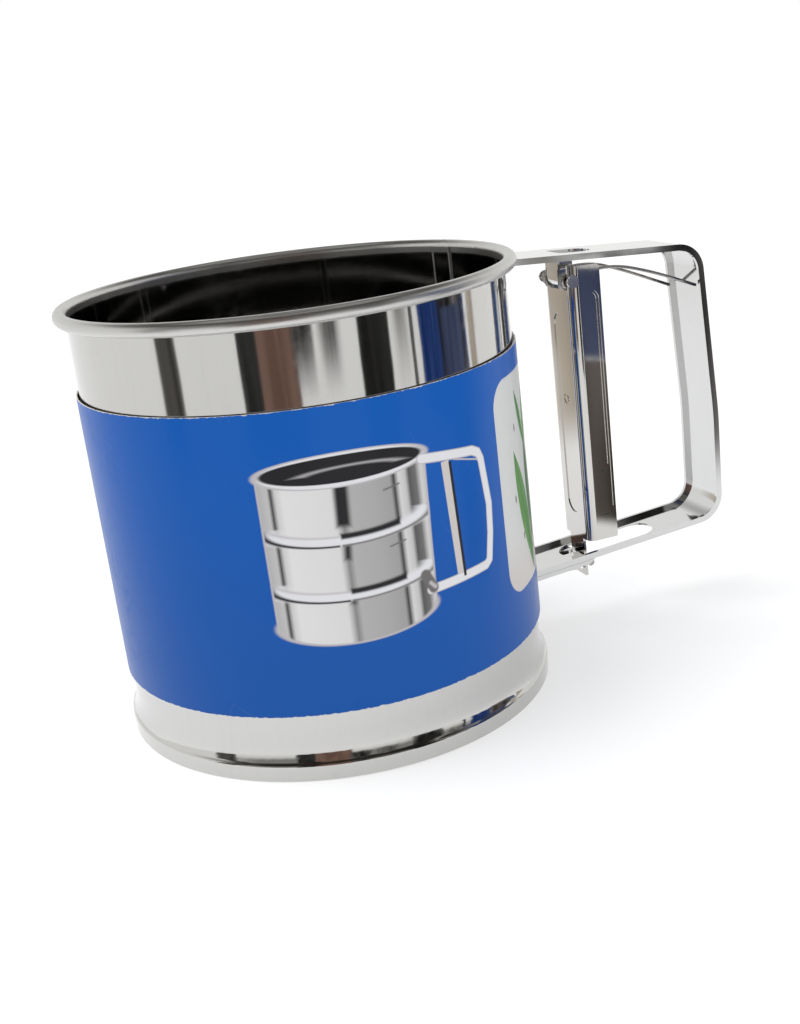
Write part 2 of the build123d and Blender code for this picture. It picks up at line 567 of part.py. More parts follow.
def spider_bracket():
    """The pressed bridge: a flat-topped ridge with sloping sides on each arm, and a foot on the wall."""
    half, reach = SPIDER_ARM_WIDTH / 2, CUP_BORE_R + 6
    roof = tapered_star(half, SPIDER_Z, SPIDER_RISE, SPIDER_FILLET_R, reach)
    hollow = tapered_star(half - SPIDER_SHEET * 1.4, SPIDER_Z - 0.01, SPIDER_RISE - SPIDER_SHEET + 0.01,
                          SPIDER_FILLET_R + SPIDER_SHEET * 1.4, reach + 1)
    bracket = (roof - hollow) & upright(CUP_BORE_R - SEAT_GAP - SPIDER_SHEET / 2, SPIDER_Z - 1, SPIDER_TOP_Z + 1)
    foot_width, foot_height = SPIDER_FOOT
    foot_low = MESH_EDGE_Z + 2 * MOVING_GAP
    foot_half = degrees(foot_width / 2 / CUP_BORE_R)
    foot_ring = tube(CUP_BORE_R - SEAT_GAP - SPIDER_SHEET, CUP_BORE_R - SEAT_GAP, foot_low, foot_low + foot_height)
    for angle in SPIDER_ARMS:
        bracket += foot_ring & wedge(foot_half, 2 * CUP_BORE_R, foot_low - 1, SPIDER_TOP_Z + 9, angle)
    pilot = radians(SPIDER_ARMS[0])
    bracket -= upright(PILOT_HOLE_R, SPIDER_Z, SPIDER_TOP_Z + 1, PILOT_HOLE_AT * cos(pilot), PILOT_HOLE_AT * sin(pilot))
    return bracket - upright(AXLE_R + RUNNING_FIT, SPIDER_Z, SPIDER_TOP_Z + 1)


def tapered_star(half, low, rise, fillet_r, reach):
    """The star outline raised with sides at 45 degrees."""
    return Pos(0, 0, low) * extrude(spider_outline(half, fillet_r, reach), rise, taper=45)


def axle_rivet():
    """The shouldered rivet on the cup's axis: it hangs from the bridge and carries the agitator."""
    washer_low = HUB_Z - SEAT_GAP - WASHER_SHEET
    head_top = washer_low - SEAT_GAP
    head_low = MESH_Z + MESH_SHEET + MOVING_GAP / 2
    top = SPIDER_TOP_Z + SEAT_GAP
    rivet = upright(AXLE_R, head_low, top + 0.8) + upright(AXLE_HEAD_R, head_low, head_top)
    dome = upright(AXLE_HEAD_R, top, top + 0.8)
    dome = fillet(dome.edges().group_by(Axis.Z)[-1], 0.6)
    return rivet + dome


def spacer_bush():
    """The tube on the axle between the bridge and the agitator."""
    low, high = HUB_Z + AGITATOR_SHEET + MOVING_GAP / 2, SPIDER_TOP_Z - SPIDER_SHEET - SEAT_GAP
    return tube(AXLE_R + RUNNING_FIT, AXLE_R + RUNNING_FIT + BUSH_WALL, low, high)


def axle_washer():
    """The washer under the agitator's hub."""
    low = HUB_Z - SEAT_GAP - WASHER_SHEET
    return tube(AXLE_R + RUNNING_FIT, WASHER_R, low, low + WASHER_SHEET)


PIECES = {
    "body_shell": body_shell,
    "card_sleeve": card_sleeve,
    "screen_ring": screen_ring,
    "mesh_screen": mesh_screen,
    "handle_strap": handle_strap,
    "handle_rivets": handle_rivets,
    "rod_guard": rod_guard,
    "trigger": trigger,
    "trigger_pin": trigger_pin,
    "return_spring": return_spring,
    "pull_rod": pull_rod,
    "agitator": agitator,
    "spider_bracket": spider_bracket,
    "axle_rivet": axle_rivet,
    "spacer_bush": spacer_bush,
    "axle_washer": axle_washer,
}

os.makedirs("parts", exist_ok=True)
for name, make in PIECES.items():
    export_step(make(), f"parts/{name}.step")
    print("built", name)
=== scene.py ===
"""A one-hand flour sifter of polished sheet steel, dressed and lit on a white set.

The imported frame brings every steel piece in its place. This script gives each piece its finish, weaves
the wire mesh, winds the return spring, prints the card sleeve, and builds the floor, lights and camera.
All lengths are in metres unless a name says otherwise.
"""

from __future__ import annotations

import json
import logging
import math
from dataclasses import dataclass, field
from enum import Enum

import bpy
import numpy as np
from mathutils import Matrix, Vector


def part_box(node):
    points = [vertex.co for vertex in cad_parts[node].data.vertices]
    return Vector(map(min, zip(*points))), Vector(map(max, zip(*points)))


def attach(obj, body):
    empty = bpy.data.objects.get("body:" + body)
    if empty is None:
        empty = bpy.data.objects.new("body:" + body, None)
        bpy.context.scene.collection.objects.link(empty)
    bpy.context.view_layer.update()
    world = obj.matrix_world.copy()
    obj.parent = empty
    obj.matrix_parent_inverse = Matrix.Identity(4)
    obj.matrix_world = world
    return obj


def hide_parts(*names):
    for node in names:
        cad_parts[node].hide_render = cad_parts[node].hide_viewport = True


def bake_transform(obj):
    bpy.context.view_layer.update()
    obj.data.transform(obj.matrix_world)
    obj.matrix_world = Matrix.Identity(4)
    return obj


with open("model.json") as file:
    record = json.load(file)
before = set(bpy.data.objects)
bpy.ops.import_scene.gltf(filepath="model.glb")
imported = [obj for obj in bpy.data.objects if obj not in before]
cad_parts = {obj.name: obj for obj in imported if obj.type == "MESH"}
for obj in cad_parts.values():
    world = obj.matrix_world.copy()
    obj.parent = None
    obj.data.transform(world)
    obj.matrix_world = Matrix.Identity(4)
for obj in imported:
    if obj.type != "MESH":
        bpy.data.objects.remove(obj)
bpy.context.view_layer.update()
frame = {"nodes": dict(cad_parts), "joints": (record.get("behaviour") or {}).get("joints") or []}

log = logging.getLogger("flour_sifter")
MM = 0.001
MIX_FACTOR, MIX_A, MIX_B = 0, 6, 7  # the sockets of a Mix node that is set to colours
Colour = tuple[float, float, float]
Point = tuple[float, float, float]
Spot = tuple[float, float]
Node = bpy.types.Node
Socket = bpy.types.NodeSocket
Tree = bpy.types.NodeTree
Material = bpy.types.Material
Object = bpy.types.Object


# ---- shader writing ------------------------------------------------------------------------------
class Graph:
    """Adds nodes to one shader tree and wires them together."""

    def __init__(self, tree: Tree) -> None:
        """Takes the tree to write into."""
        self.tree = tree

    def add(self, kind: str, **settings: object) -> Node:
        """Adds one node.

        Args:
            kind: The node's type without its ShaderNode prefix.
            settings: Properties to set on it.

        Returns:
            The new node.
        """
        node = self.tree.nodes.new("ShaderNode" + kind)
        for name, value in settings.items():
            setattr(node, name, value)
        return node

    def feed(self, value: object, socket: Socket) -> None:
        """Wires a socket, or sets a plain value on one.

        Args:
            value: A socket to wire from, a plain value, or None to leave it alone.
            socket: The socket to feed.
        """
        if isinstance(value, Socket):
            self.tree.links.new(value, socket)
        elif value is not None:
            socket.default_value = value

    def math(self, operation: str, a: object, b: object = None, c: object = None) -> Socket:
        """Adds a Math node.

        Args:
            operation: What it does.
            a: The first value or socket.
            b: The second, if it has one.
            c: The third, if it has one.

        Returns:
            Its result.
        """
        node = self.add("Math", operation=operation)
        for value, socket in zip((a, b, c), node.inputs):
            self.feed(value, socket)
        return node.outputs[0]

    def spread(self, value: object, low: float, high: float, to_low: float = 0.0,
               to_high: float = 1.0) -> Socket:
        """A smooth step between two values.

        Args:
            value: What to step on.
            low: Where it starts.
            high: Where it ends.
            to_low: The result at and below low.
            to_high: The result at and above high.

        Returns:
            The stepped value.
        """
        node = self.add("MapRange", interpolation_type="SMOOTHSTEP")
        for amount, socket in zip((value, low, high, to_low, to_high), node.inputs):
            self.feed(amount, socket)
        return node.outputs[0]

    def noise(self, vector: object, scale: object, detail: float = 2.0) -> Socket:
        """Fractal noise.

        Args:
            vector: Where to read it.
            scale: How fine it is.
            detail: How many finer layers it has.

        Returns:
            A value from 0 to 1.
        """
        node = self.add("TexNoise")
        self.feed(vector, node.inputs["Vector"])
        self.feed(scale, node.inputs["Scale"])
        self.feed(detail, node.inputs["Detail"])
        return node.outputs[0]

    def mix(self, factor: object, a: object, b: object) -> Socket:
        """Blends two colours.

        Args:
            factor: 0 for a, 1 for b.
            a: The first colour.
            b: The second colour.

        Returns:
            The blend.
        """
        node = self.add("Mix", data_type="RGBA")
        for value, slot in ((factor, MIX_FACTOR), (rgba(a), MIX_A), (rgba(b), MIX_B)):
            self.feed(value, node.inputs[slot])
        return node.outputs[2]

    def place(self) -> Socket:
        """The point being shaded, in the row frame."""
        return self.add("TexCoord").outputs["Object"]

    def stretched(self, scale: Point) -> Socket:
        """Squeezes the point being shaded.

        Args:
            scale: What each axis is multiplied by.

        Returns:
            The squeezed point.
        """
        node = self.add("Mapping")
        self.feed(self.place(), node.inputs["Vector"])
        node.inputs["Scale"].default_value = scale
        return node.outputs[0]

    def use(self, tree: Tree, **values: object) -> Node:
        """Places a shared group.

        Args:
            tree: The group.
            values: Its inputs, by name.

        Returns:
            The group's node.
        """
        node = self.add("Group", node_tree=tree)
        for name, value in values.items():
            self.feed(value, node.inputs[name.replace("_", " ").capitalize()])
        return node


def rgba(colour: object) -> object:
    """A three-part colour with alpha added; anything else is passed on."""
    return (*colour, 1.0) if isinstance(colour, tuple) and len(colour) == 3 else colour


class Shelf:
    """The shader groups that several finishes share."""

    def __init__(self) -> None:
        """Builds each group once."""
        self.hand_marks = self._hand_marks()
        self.rolling_grain = self._rolling_grain()
        self.sheet_ripple = self._sheet_ripple()
        self.scuffs = self._scuffs()

    @staticmethod
    def _start(name: str, inputs: dict[str, float], outputs: tuple[str, ...],
               vector: bool = False) -> tuple[Tree, Graph, Node, Node]:
        """Starts a group.

        Args:
            name: The group's name.
            inputs: Its value inputs, with what they are set to at first.
            outputs: Its outputs.
            vector: Whether it also takes a vector.

        Returns:
            The group, a graph on it, and its input and output nodes.
        """
        tree = bpy.data.node_groups.new(name, "ShaderNodeTree")
        if vector:
            tree.interface.new_socket("Vector", in_out="INPUT", socket_type="NodeSocketVector")
        for socket_name, value in inputs.items():
            socket = tree.interface.new_socket(socket_name, in_out="INPUT", socket_type="NodeSocketFloat")
            socket.default_value = value
        for socket_name in outputs:
            tree.interface.new_socket(socket_name, in_out="OUTPUT", socket_type="NodeSocketFloat")
        graph = Graph(tree)
        return tree, graph, tree.nodes.new("NodeGroupInput"), tree.nodes.new("NodeGroupOutput")

    def _hand_marks(self) -> Tree:
        """Patchy smears that handling leaves on polished sheet.

        Returns:
            The group.
        """
        tree, g, start, end = self._start("Hand marks", {"Scale": 60.0, "Amount": 1.0}, ("Mask",))
        place = g.place()
        broad = g.spread(g.noise(place, start.outputs["Scale"], 3.0), 0.48, 0.72)
        fine = g.spread(g.noise(place, g.math("MULTIPLY", start.outputs["Scale"], 7.0), 4.0), 0.35, 0.75)
        mask = g.math("MULTIPLY", g.math("MULTIPLY", broad, fine), start.outputs["Amount"])
        g.feed(mask, end.inputs["Mask"])
        return tree

    def _rolling_grain(self) -> Tree:
        """Fine parallel lines along whichever axis the vector is squeezed on.

        Returns:
            The group.
        """
        tree, g, start, end = self._start(
            "Rolling grain", {"Scale": 9000.0, "Depth": 2e-7}, ("Streak", "Height"), vector=True)
        lines = g.noise(start.outputs["Vector"], start.outputs["Scale"], 3.0)
        patches = g.noise(start.outputs["Vector"], g.math("MULTIPLY", start.outputs["Scale"], 0.07), 2.0)
        streak = g.math("MULTIPLY", g.spread(lines, 0.42, 0.75), g.spread(patches, 0.3, 0.8))
        g.feed(streak, end.inputs["Streak"])
        g.feed(g.math("MULTIPLY", lines, start.outputs["Depth"]), end.inputs["Height"])
        return tree

    def _sheet_ripple(self) -> Tree:
        """The slow unevenness of thin formed sheet, which bends its reflections.

        Returns:
            The group.
        """
        tree, g, start, end = self._start(
            "Sheet ripple", {"Scale": 60.0, "Depth": 5e-6}, ("Height",), vector=True)
        slow = g.noise(start.outputs["Vector"], start.outputs["Scale"], 0.0)
        quick = g.noise(start.outputs["Vector"], g.math("MULTIPLY", start.outputs["Scale"], 2.7), 1.0)
        both = g.math("MULTIPLY_ADD", quick, 0.25, slow)
        g.feed(g.math("MULTIPLY", both, start.outputs["Depth"]), end.inputs["Height"])
        return tree

    def _scuffs(self) -> Tree:
        """Short bright scratches at odd angles.

        Returns:
            The group.
        """
        tree, g, start, end = self._start("Scuffs", {"Scale": 220.0, "Amount": 1.0}, ("Mask",))
        cells = g.add("TexVoronoi", feature="DISTANCE_TO_EDGE")
        g.feed(g.place(), cells.inputs["Vector"])
        g.feed(start.outputs["Scale"], cells.inputs["Scale"])
        line = g.spread(cells.outputs["Distance"], 0.0, 0.012, 1.0, 0.0)
        coarse = g.math("MULTIPLY", start.outputs["Scale"], 0.6)
        where = g.spread(g.noise(g.place(), coarse, 2.0), 0.6, 0.72)
        mask = g.math("MULTIPLY", g.math("MULTIPLY", line, where), start.outputs["Amount"])
        g.feed(mask, end.inputs["Mask"])
        return tree


def new_material(name: str) -> tuple[Material, Graph, Node]:
    """A material with a Principled shader wired up.

    Args:
        name: The material's name.

    Returns:
        The material, a graph on its tree, and its Principled node.
    """
    material = bpy.data.materials.new(name)
    material.use_nodes = True
    material.node_tree.nodes.clear()
    graph = Graph(material.node_tree)
    shader = graph.add("BsdfPrincipled")
    output = graph.add("OutputMaterial")
    graph.feed(shader.outputs[0], output.inputs[0])
    return material, graph, shader


# ---- finishes ------------------------------------------------------------------------------------
class Rolled(Enum):
    """Which way a sheet's grain runs, as a squeeze of each axis."""

    UPRIGHT = (1.0, 1.0, 0.02)
    LEVEL = (0.03, 0.03, 1.0)
    OUTWARD = (0.02, 1.0, 1.0)
    EVEN = (1.0, 1.0, 1.0)


@dataclass(frozen=True)
class Steel:
    """One stainless finish."""

    name: str
    tint: Colour
    roughness: float
    rolled: Rolled
    ripple: float = 6e-6
    ripple_scale: float = 55.0
    ripple_stretch: Point = (1.0, 1.0, 0.25)
    grain: float = 2.5e-7
    grain_scale: float = 9000.0
    marks: float = 0.5
    scuffs: float = 0.5
    satin_above: float = 1.0
    satin: float = 0.26
    seams: tuple[float, ...] = ()
    marks_scale: float = 70.0
    scuffs_scale: float = 240.0
    streak_roughness: float = 0.05
    worn_roughness: float = 0.16
    seam_roughness: float = 0.42
    dulled: float = 0.84

    def make(self, shelf: Shelf) -> Material:
        """Builds the material from the shared groups.

        Args:
            shelf: The shared shader groups.

        Returns:
            The finished material.
        """
        material, g, shader = new_material(self.name)
        grain = g.use(shelf.rolling_grain, vector=g.stretched(self.rolled.value),
                      scale=self.grain_scale, depth=self.grain)
        ripple = g.use(shelf.sheet_ripple, vector=g.stretched(self.ripple_stretch),
                       scale=self.ripple_scale, depth=self.ripple)
        marks = g.use(shelf.hand_marks, scale=self.marks_scale, amount=self.marks).outputs["Mask"]
        scuffs = g.use(shelf.scuffs, scale=self.scuffs_scale, amount=self.scuffs).outputs["Mask"]
        worn = g.math("MAXIMUM", marks, scuffs)
        rough = g.math("MULTIPLY_ADD", grain.outputs["Streak"], self.streak_roughness, self.roughness)
        rough = g.math("MULTIPLY_ADD", worn, self.worn_roughness, rough)
        point = g.add("SeparateXYZ")
        g.feed(g.place(), point.inputs[0])
        edge = g.spread(point.outputs[2], self.satin_above - 0.5 * MM, self.satin_above + 0.5 * MM)
        rough = g.math("MULTIPLY_ADD", edge, self.satin, rough)
        for seam in self.seams:
            below_rim = g.math("SUBTRACT", 1.0, edge)
            line = g.math("MULTIPLY", self._seam_line(g, point, seam), below_rim)
            rough = g.math("MULTIPLY_ADD", line, self.seam_roughness, rough)
        dull = tuple(self.dulled * part for part in self.tint)
        shade = g.math("MULTIPLY_ADD", grain.outputs["Streak"], 0.35, g.math("MULTIPLY", marks, 0.4))
        bump = g.add("Bump")
        bump.inputs["Strength"].default_value = 1.0
        bump.inputs["Distance"].default_value = 1.0
        g.feed(g.math("ADD", grain.outputs["Height"], ripple.outputs["Height"]), bump.inputs["Height"])
        g.feed(g.mix(shade, self.tint, dull), shader.inputs["Base Color"])
        g.feed(rough, shader.inputs["Roughness"])
        g.feed(bump.outputs["Normal"], shader.inputs["Normal"])
        shader.inputs["Metallic"].default_value = 1.0
        return material

    @staticmethod
    def _seam_line(g: Graph, point: Node, degrees: float) -> Socket:
        """A dull upright line where the seam's edge was rolled flat.

        Args:
            g: The material's graph.
            point: The split point being shaded.
            degrees: Which way the seam lies from the cup's axis.

        Returns:
            A mask of the line.
        """
        turn = g.math("ARCTAN2", point.outputs[1], point.outputs[0])
        away = g.math("ABSOLUTE", g.math("SUBTRACT", turn, math.radians(degrees)))
        return g.spread(away, 0.005, 0.012, 1.0, 0.0)


EVEN_RIPPLE = (1.0, 1.0, 1.0)
CUP_STEEL = Steel("polished_cup_steel", (0.56, 0.555, 0.54), 0.055, Rolled.UPRIGHT, ripple=9e-6,
                  ripple_scale=48.0, satin_above=0.0953, seams=(18.5, 25.5))
STRAP_STEEL = Steel("polished_strap_steel", (0.63, 0.63, 0.625), 0.075, Rolled.OUTWARD, ripple=4e-6,
                    ripple_scale=70.0, ripple_stretch=(0.5, 1.0, 0.5))
TRIGGER_STEEL = Steel("polished_trigger_steel", (0.60, 0.585, 0.56), 0.06, Rolled.UPRIGHT, ripple=5e-6,
                      ripple_scale=80.0)
PRESSED_STEEL = Steel("pressed_inner_steel", (0.52, 0.51, 0.49), 0.11, Rolled.EVEN, ripple=5e-6,
                      ripple_scale=90.0, ripple_stretch=EVEN_RIPPLE, grain=4e-7)
RING_STEEL = Steel("satin_ring_steel", (0.62, 0.61, 0.60), 0.20, Rolled.LEVEL, ripple=3e-6,
                   ripple_scale=60.0)
RIVET_STEEL = Steel("satin_rivet_steel", (0.66, 0.65, 0.64), 0.16, Rolled.EVEN, ripple=3e-6,
                    ripple_scale=300.0, ripple_stretch=EVEN_RIPPLE, grain=6e-7)
WIRE_STEEL = Steel("drawn_wire_steel", (0.42, 0.40, 0.375), 0.17, Rolled.OUTWARD, ripple=0.0,
                   ripple_scale=60.0)
MESH_STEEL = Steel("woven_wire_steel", (0.50, 0.49, 0.475), 0.24, Rolled.EVEN, ripple=0.0,
                   ripple_scale=60.0, marks=0.2, scuffs=0.0)


# ---- printed card --------------------------------------------------------------------------------
class Ink(Enum):
    """The colours of the print."""

    BLUE = (0.0005, 0.082, 0.37)
    DEEP_BLUE = (0.002, 0.070, 0.31)
    WHITE = (0.62, 0.62, 0.64)
    WARM_WHITE = (0.50, 0.47, 0.45)
    PALE = (0.53, 0.54, 0.53)
    SILVER = (0.42, 0.40, 0.41)
    GREY = (0.13, 0.12, 0.12)
    BLACK = (0.012, 0.012, 0.014)
    LEAF = (0.08, 0.23, 0.05)
    DARK_LEAF = (0.025, 0.10, 0.02)
    CARD = (0.55, 0.53, 0.50)


class Drawing:
    """Flat shapes on the wrapped card, in millimetres: u runs round the cup from its front, v is height.

    A shape is a signed distance, below zero inside.
    """

    def __init__(self, graph: Graph, radius_mm: float) -> None:
        """Finds u and v for the point being shaded.

        Args:
            graph: The material's graph.
            radius_mm: The card's outer radius.
        """
        self.g = graph
        split = graph.add("SeparateXYZ")
        graph.feed(graph.place(), split.inputs[0])
        x, y, z = split.outputs
        turn = graph.math("ARCTAN2", y, x)
        self.u = graph.math("MULTIPLY_ADD", turn, radius_mm, radius_mm * math.pi / 2)
        self.v = graph.math("MULTIPLY", z, 1.0 / MM)
        squares = graph.math("ADD", graph.math("MULTIPLY", x, x), graph.math("MULTIPLY", y, y))
        self.reach = graph.math("SQRT", squares)

    def side(self, u: float, v: float, angle: float) -> Socket:
        """Everything behind a line.

        Args:
            u: A point on the line.
            v: The same point's height.
            angle: Which way the line's outward normal points, in degrees.

        Returns:
            The shape.
        """
        c, s = math.cos(math.radians(angle)), math.sin(math.radians(angle))
        part = self.g.math("MULTIPLY_ADD", self.u, c, -(u * c + v * s))
        return self.g.math("MULTIPLY_ADD", self.v, s, part)

    def oval(self, u: float, v: float, ru: float, rv: float) -> Socket:
        """An ellipse.

        Args:
            u: Its middle.
            v: Its middle's height.
            ru: Its radius along u.
            rv: Its radius along v.

        Returns:
            The shape.
        """
        g = self.g
        a = g.math("MULTIPLY_ADD", self.u, 1 / ru, -u / ru)
        b = g.math("MULTIPLY_ADD", self.v, 1 / rv, -v / rv)
        size = g.math("SQRT", g.math("MULTIPLY_ADD", a, a, g.math("MULTIPLY", b, b)))
        return g.math("MULTIPLY_ADD", size, min(ru, rv), -min(ru, rv))

    def panel(self, u: float, v: float, half_u: float, half_v: float, corner: float) -> Socket:
        """A rectangle with round corners.

        Args:
            u: Its middle.
            v: Its middle's height.
            half_u: Half its width.
            half_v: Half its height.
            corner: The corners' radius.

        Returns:
            The shape.
        """
        g = self.g
        parts = []
        for socket, middle, half in ((self.u, u, half_u), (self.v, v, half_v)):
            away = g.math("ABSOLUTE", g.math("SUBTRACT", socket, middle))
            parts.append(g.math("MAXIMUM", g.math("SUBTRACT", away, half - corner), 0.0))
        square = g.math("MULTIPLY", parts[1], parts[1])
        size = g.math("SQRT", g.math("MULTIPLY_ADD", parts[0], parts[0], square))
        return g.math("SUBTRACT", size, corner)

    def bar(self, start: Spot, end: Spot, width: float) -> Socket:
        """A straight stroke with square ends.

        Args:
            start: One end.
            end: The other end.
            width: How wide it is.

        Returns:
            The shape.
        """
        du, dv = end[0] - start[0], end[1] - start[1]
        middle = ((start[0] + end[0]) / 2, (start[1] + end[1]) / 2)
        angle = math.degrees(math.atan2(dv, du))
        along = self.g.math("ABSOLUTE", self.side(*middle, angle))
        across = self.g.math("ABSOLUTE", self.side(*middle, angle + 90))
        long_part = self.g.math("SUBTRACT", along, math.hypot(du, dv) / 2)
        return self.g.math("MAXIMUM", long_part, self.g.math("SUBTRACT", across, width / 2))

    def stroke(self, start: Spot, end: Spot, width: float) -> Socket:
        """A straight stroke with round ends.

        Args:
            start: One end.
            end: The other end.
            width: How wide it is.

        Returns:
            The shape.
        """
        g = self.g
        du, dv = end[0] - start[0], end[1] - start[1]
        middle = ((start[0] + end[0]) / 2, (start[1] + end[1]) / 2)
        angle = math.degrees(math.atan2(dv, du))
        along = g.math("SUBTRACT", g.math("ABSOLUTE", self.side(*middle, angle)), math.hypot(du, dv) / 2)
        along = g.math("MAXIMUM", along, 0.0)
        across = self.side(*middle, angle + 90)
        away = g.math("SQRT", g.math("MULTIPLY_ADD", along, along, g.math("MULTIPLY", across, across)))
        return g.math("SUBTRACT", away, width / 2)

    def leaf(self, start: Spot, end: Spot, width: float) -> Socket:
        """A pointed leaf between two tips: where two large circles overlap.

        Args:
            start: One end.
            end: The other end.
            width: How wide it is.

        Returns:
            The shape.
        """
        half = math.hypot(end[0] - start[0], end[1] - start[1]) / 2
        radius = (half**2 + (width / 2) ** 2) / width
        du, dv = (end[0] - start[0]) / (2 * half), (end[1] - start[1]) / (2 * half)
        middle = ((start[0] + end[0]) / 2, (start[1] + end[1]) / 2)
        shift = radius - width / 2
        discs = [self.oval(middle[0] - k * dv * shift, middle[1] + k * du * shift, radius, radius)
                 for k in (-1, 1)]
        return self.both(*discs)

    def both(self, *shapes: object) -> object:
        """Where all of the shapes overlap.

        Args:
            shapes: The shapes.

        Returns:
            The shape that they make.
        """
        result = shapes[0]
        for shape in shapes[1:]:
            result = self.g.math("MAXIMUM", result, shape)
        return result

    def either(self, *shapes: object) -> object:
        """Where any of the shapes is.

        Args:
            shapes: The shapes.

        Returns:
            The shape that they make.
        """
        result = shapes[0]
        for shape in shapes[1:]:
            result = self.g.math("MINIMUM", result, shape)
        return result

    def outline(self, shape: object, width: float) -> object:
        """A line of that width along a shape's edge."""
        return self.g.math("SUBTRACT", self.g.math("ABSOLUTE", shape), width / 2)

    def paint(self, under: object, shape: object, ink: object, soft: float = 0.12) -> object:
        """Lays ink over what is under it, inside a shape.

        Args:
            under: The colour so far.
            shape: Where to paint.
            ink: An Ink, a colour or a socket.
            soft: How far its edge is blurred.

        Returns:
            The painted colour.
        """
        mask = self.g.spread(shape, -soft, soft, 1.0, 0.0)
        return self.g.mix(mask, under, ink.value if isinstance(ink, Ink) else ink)


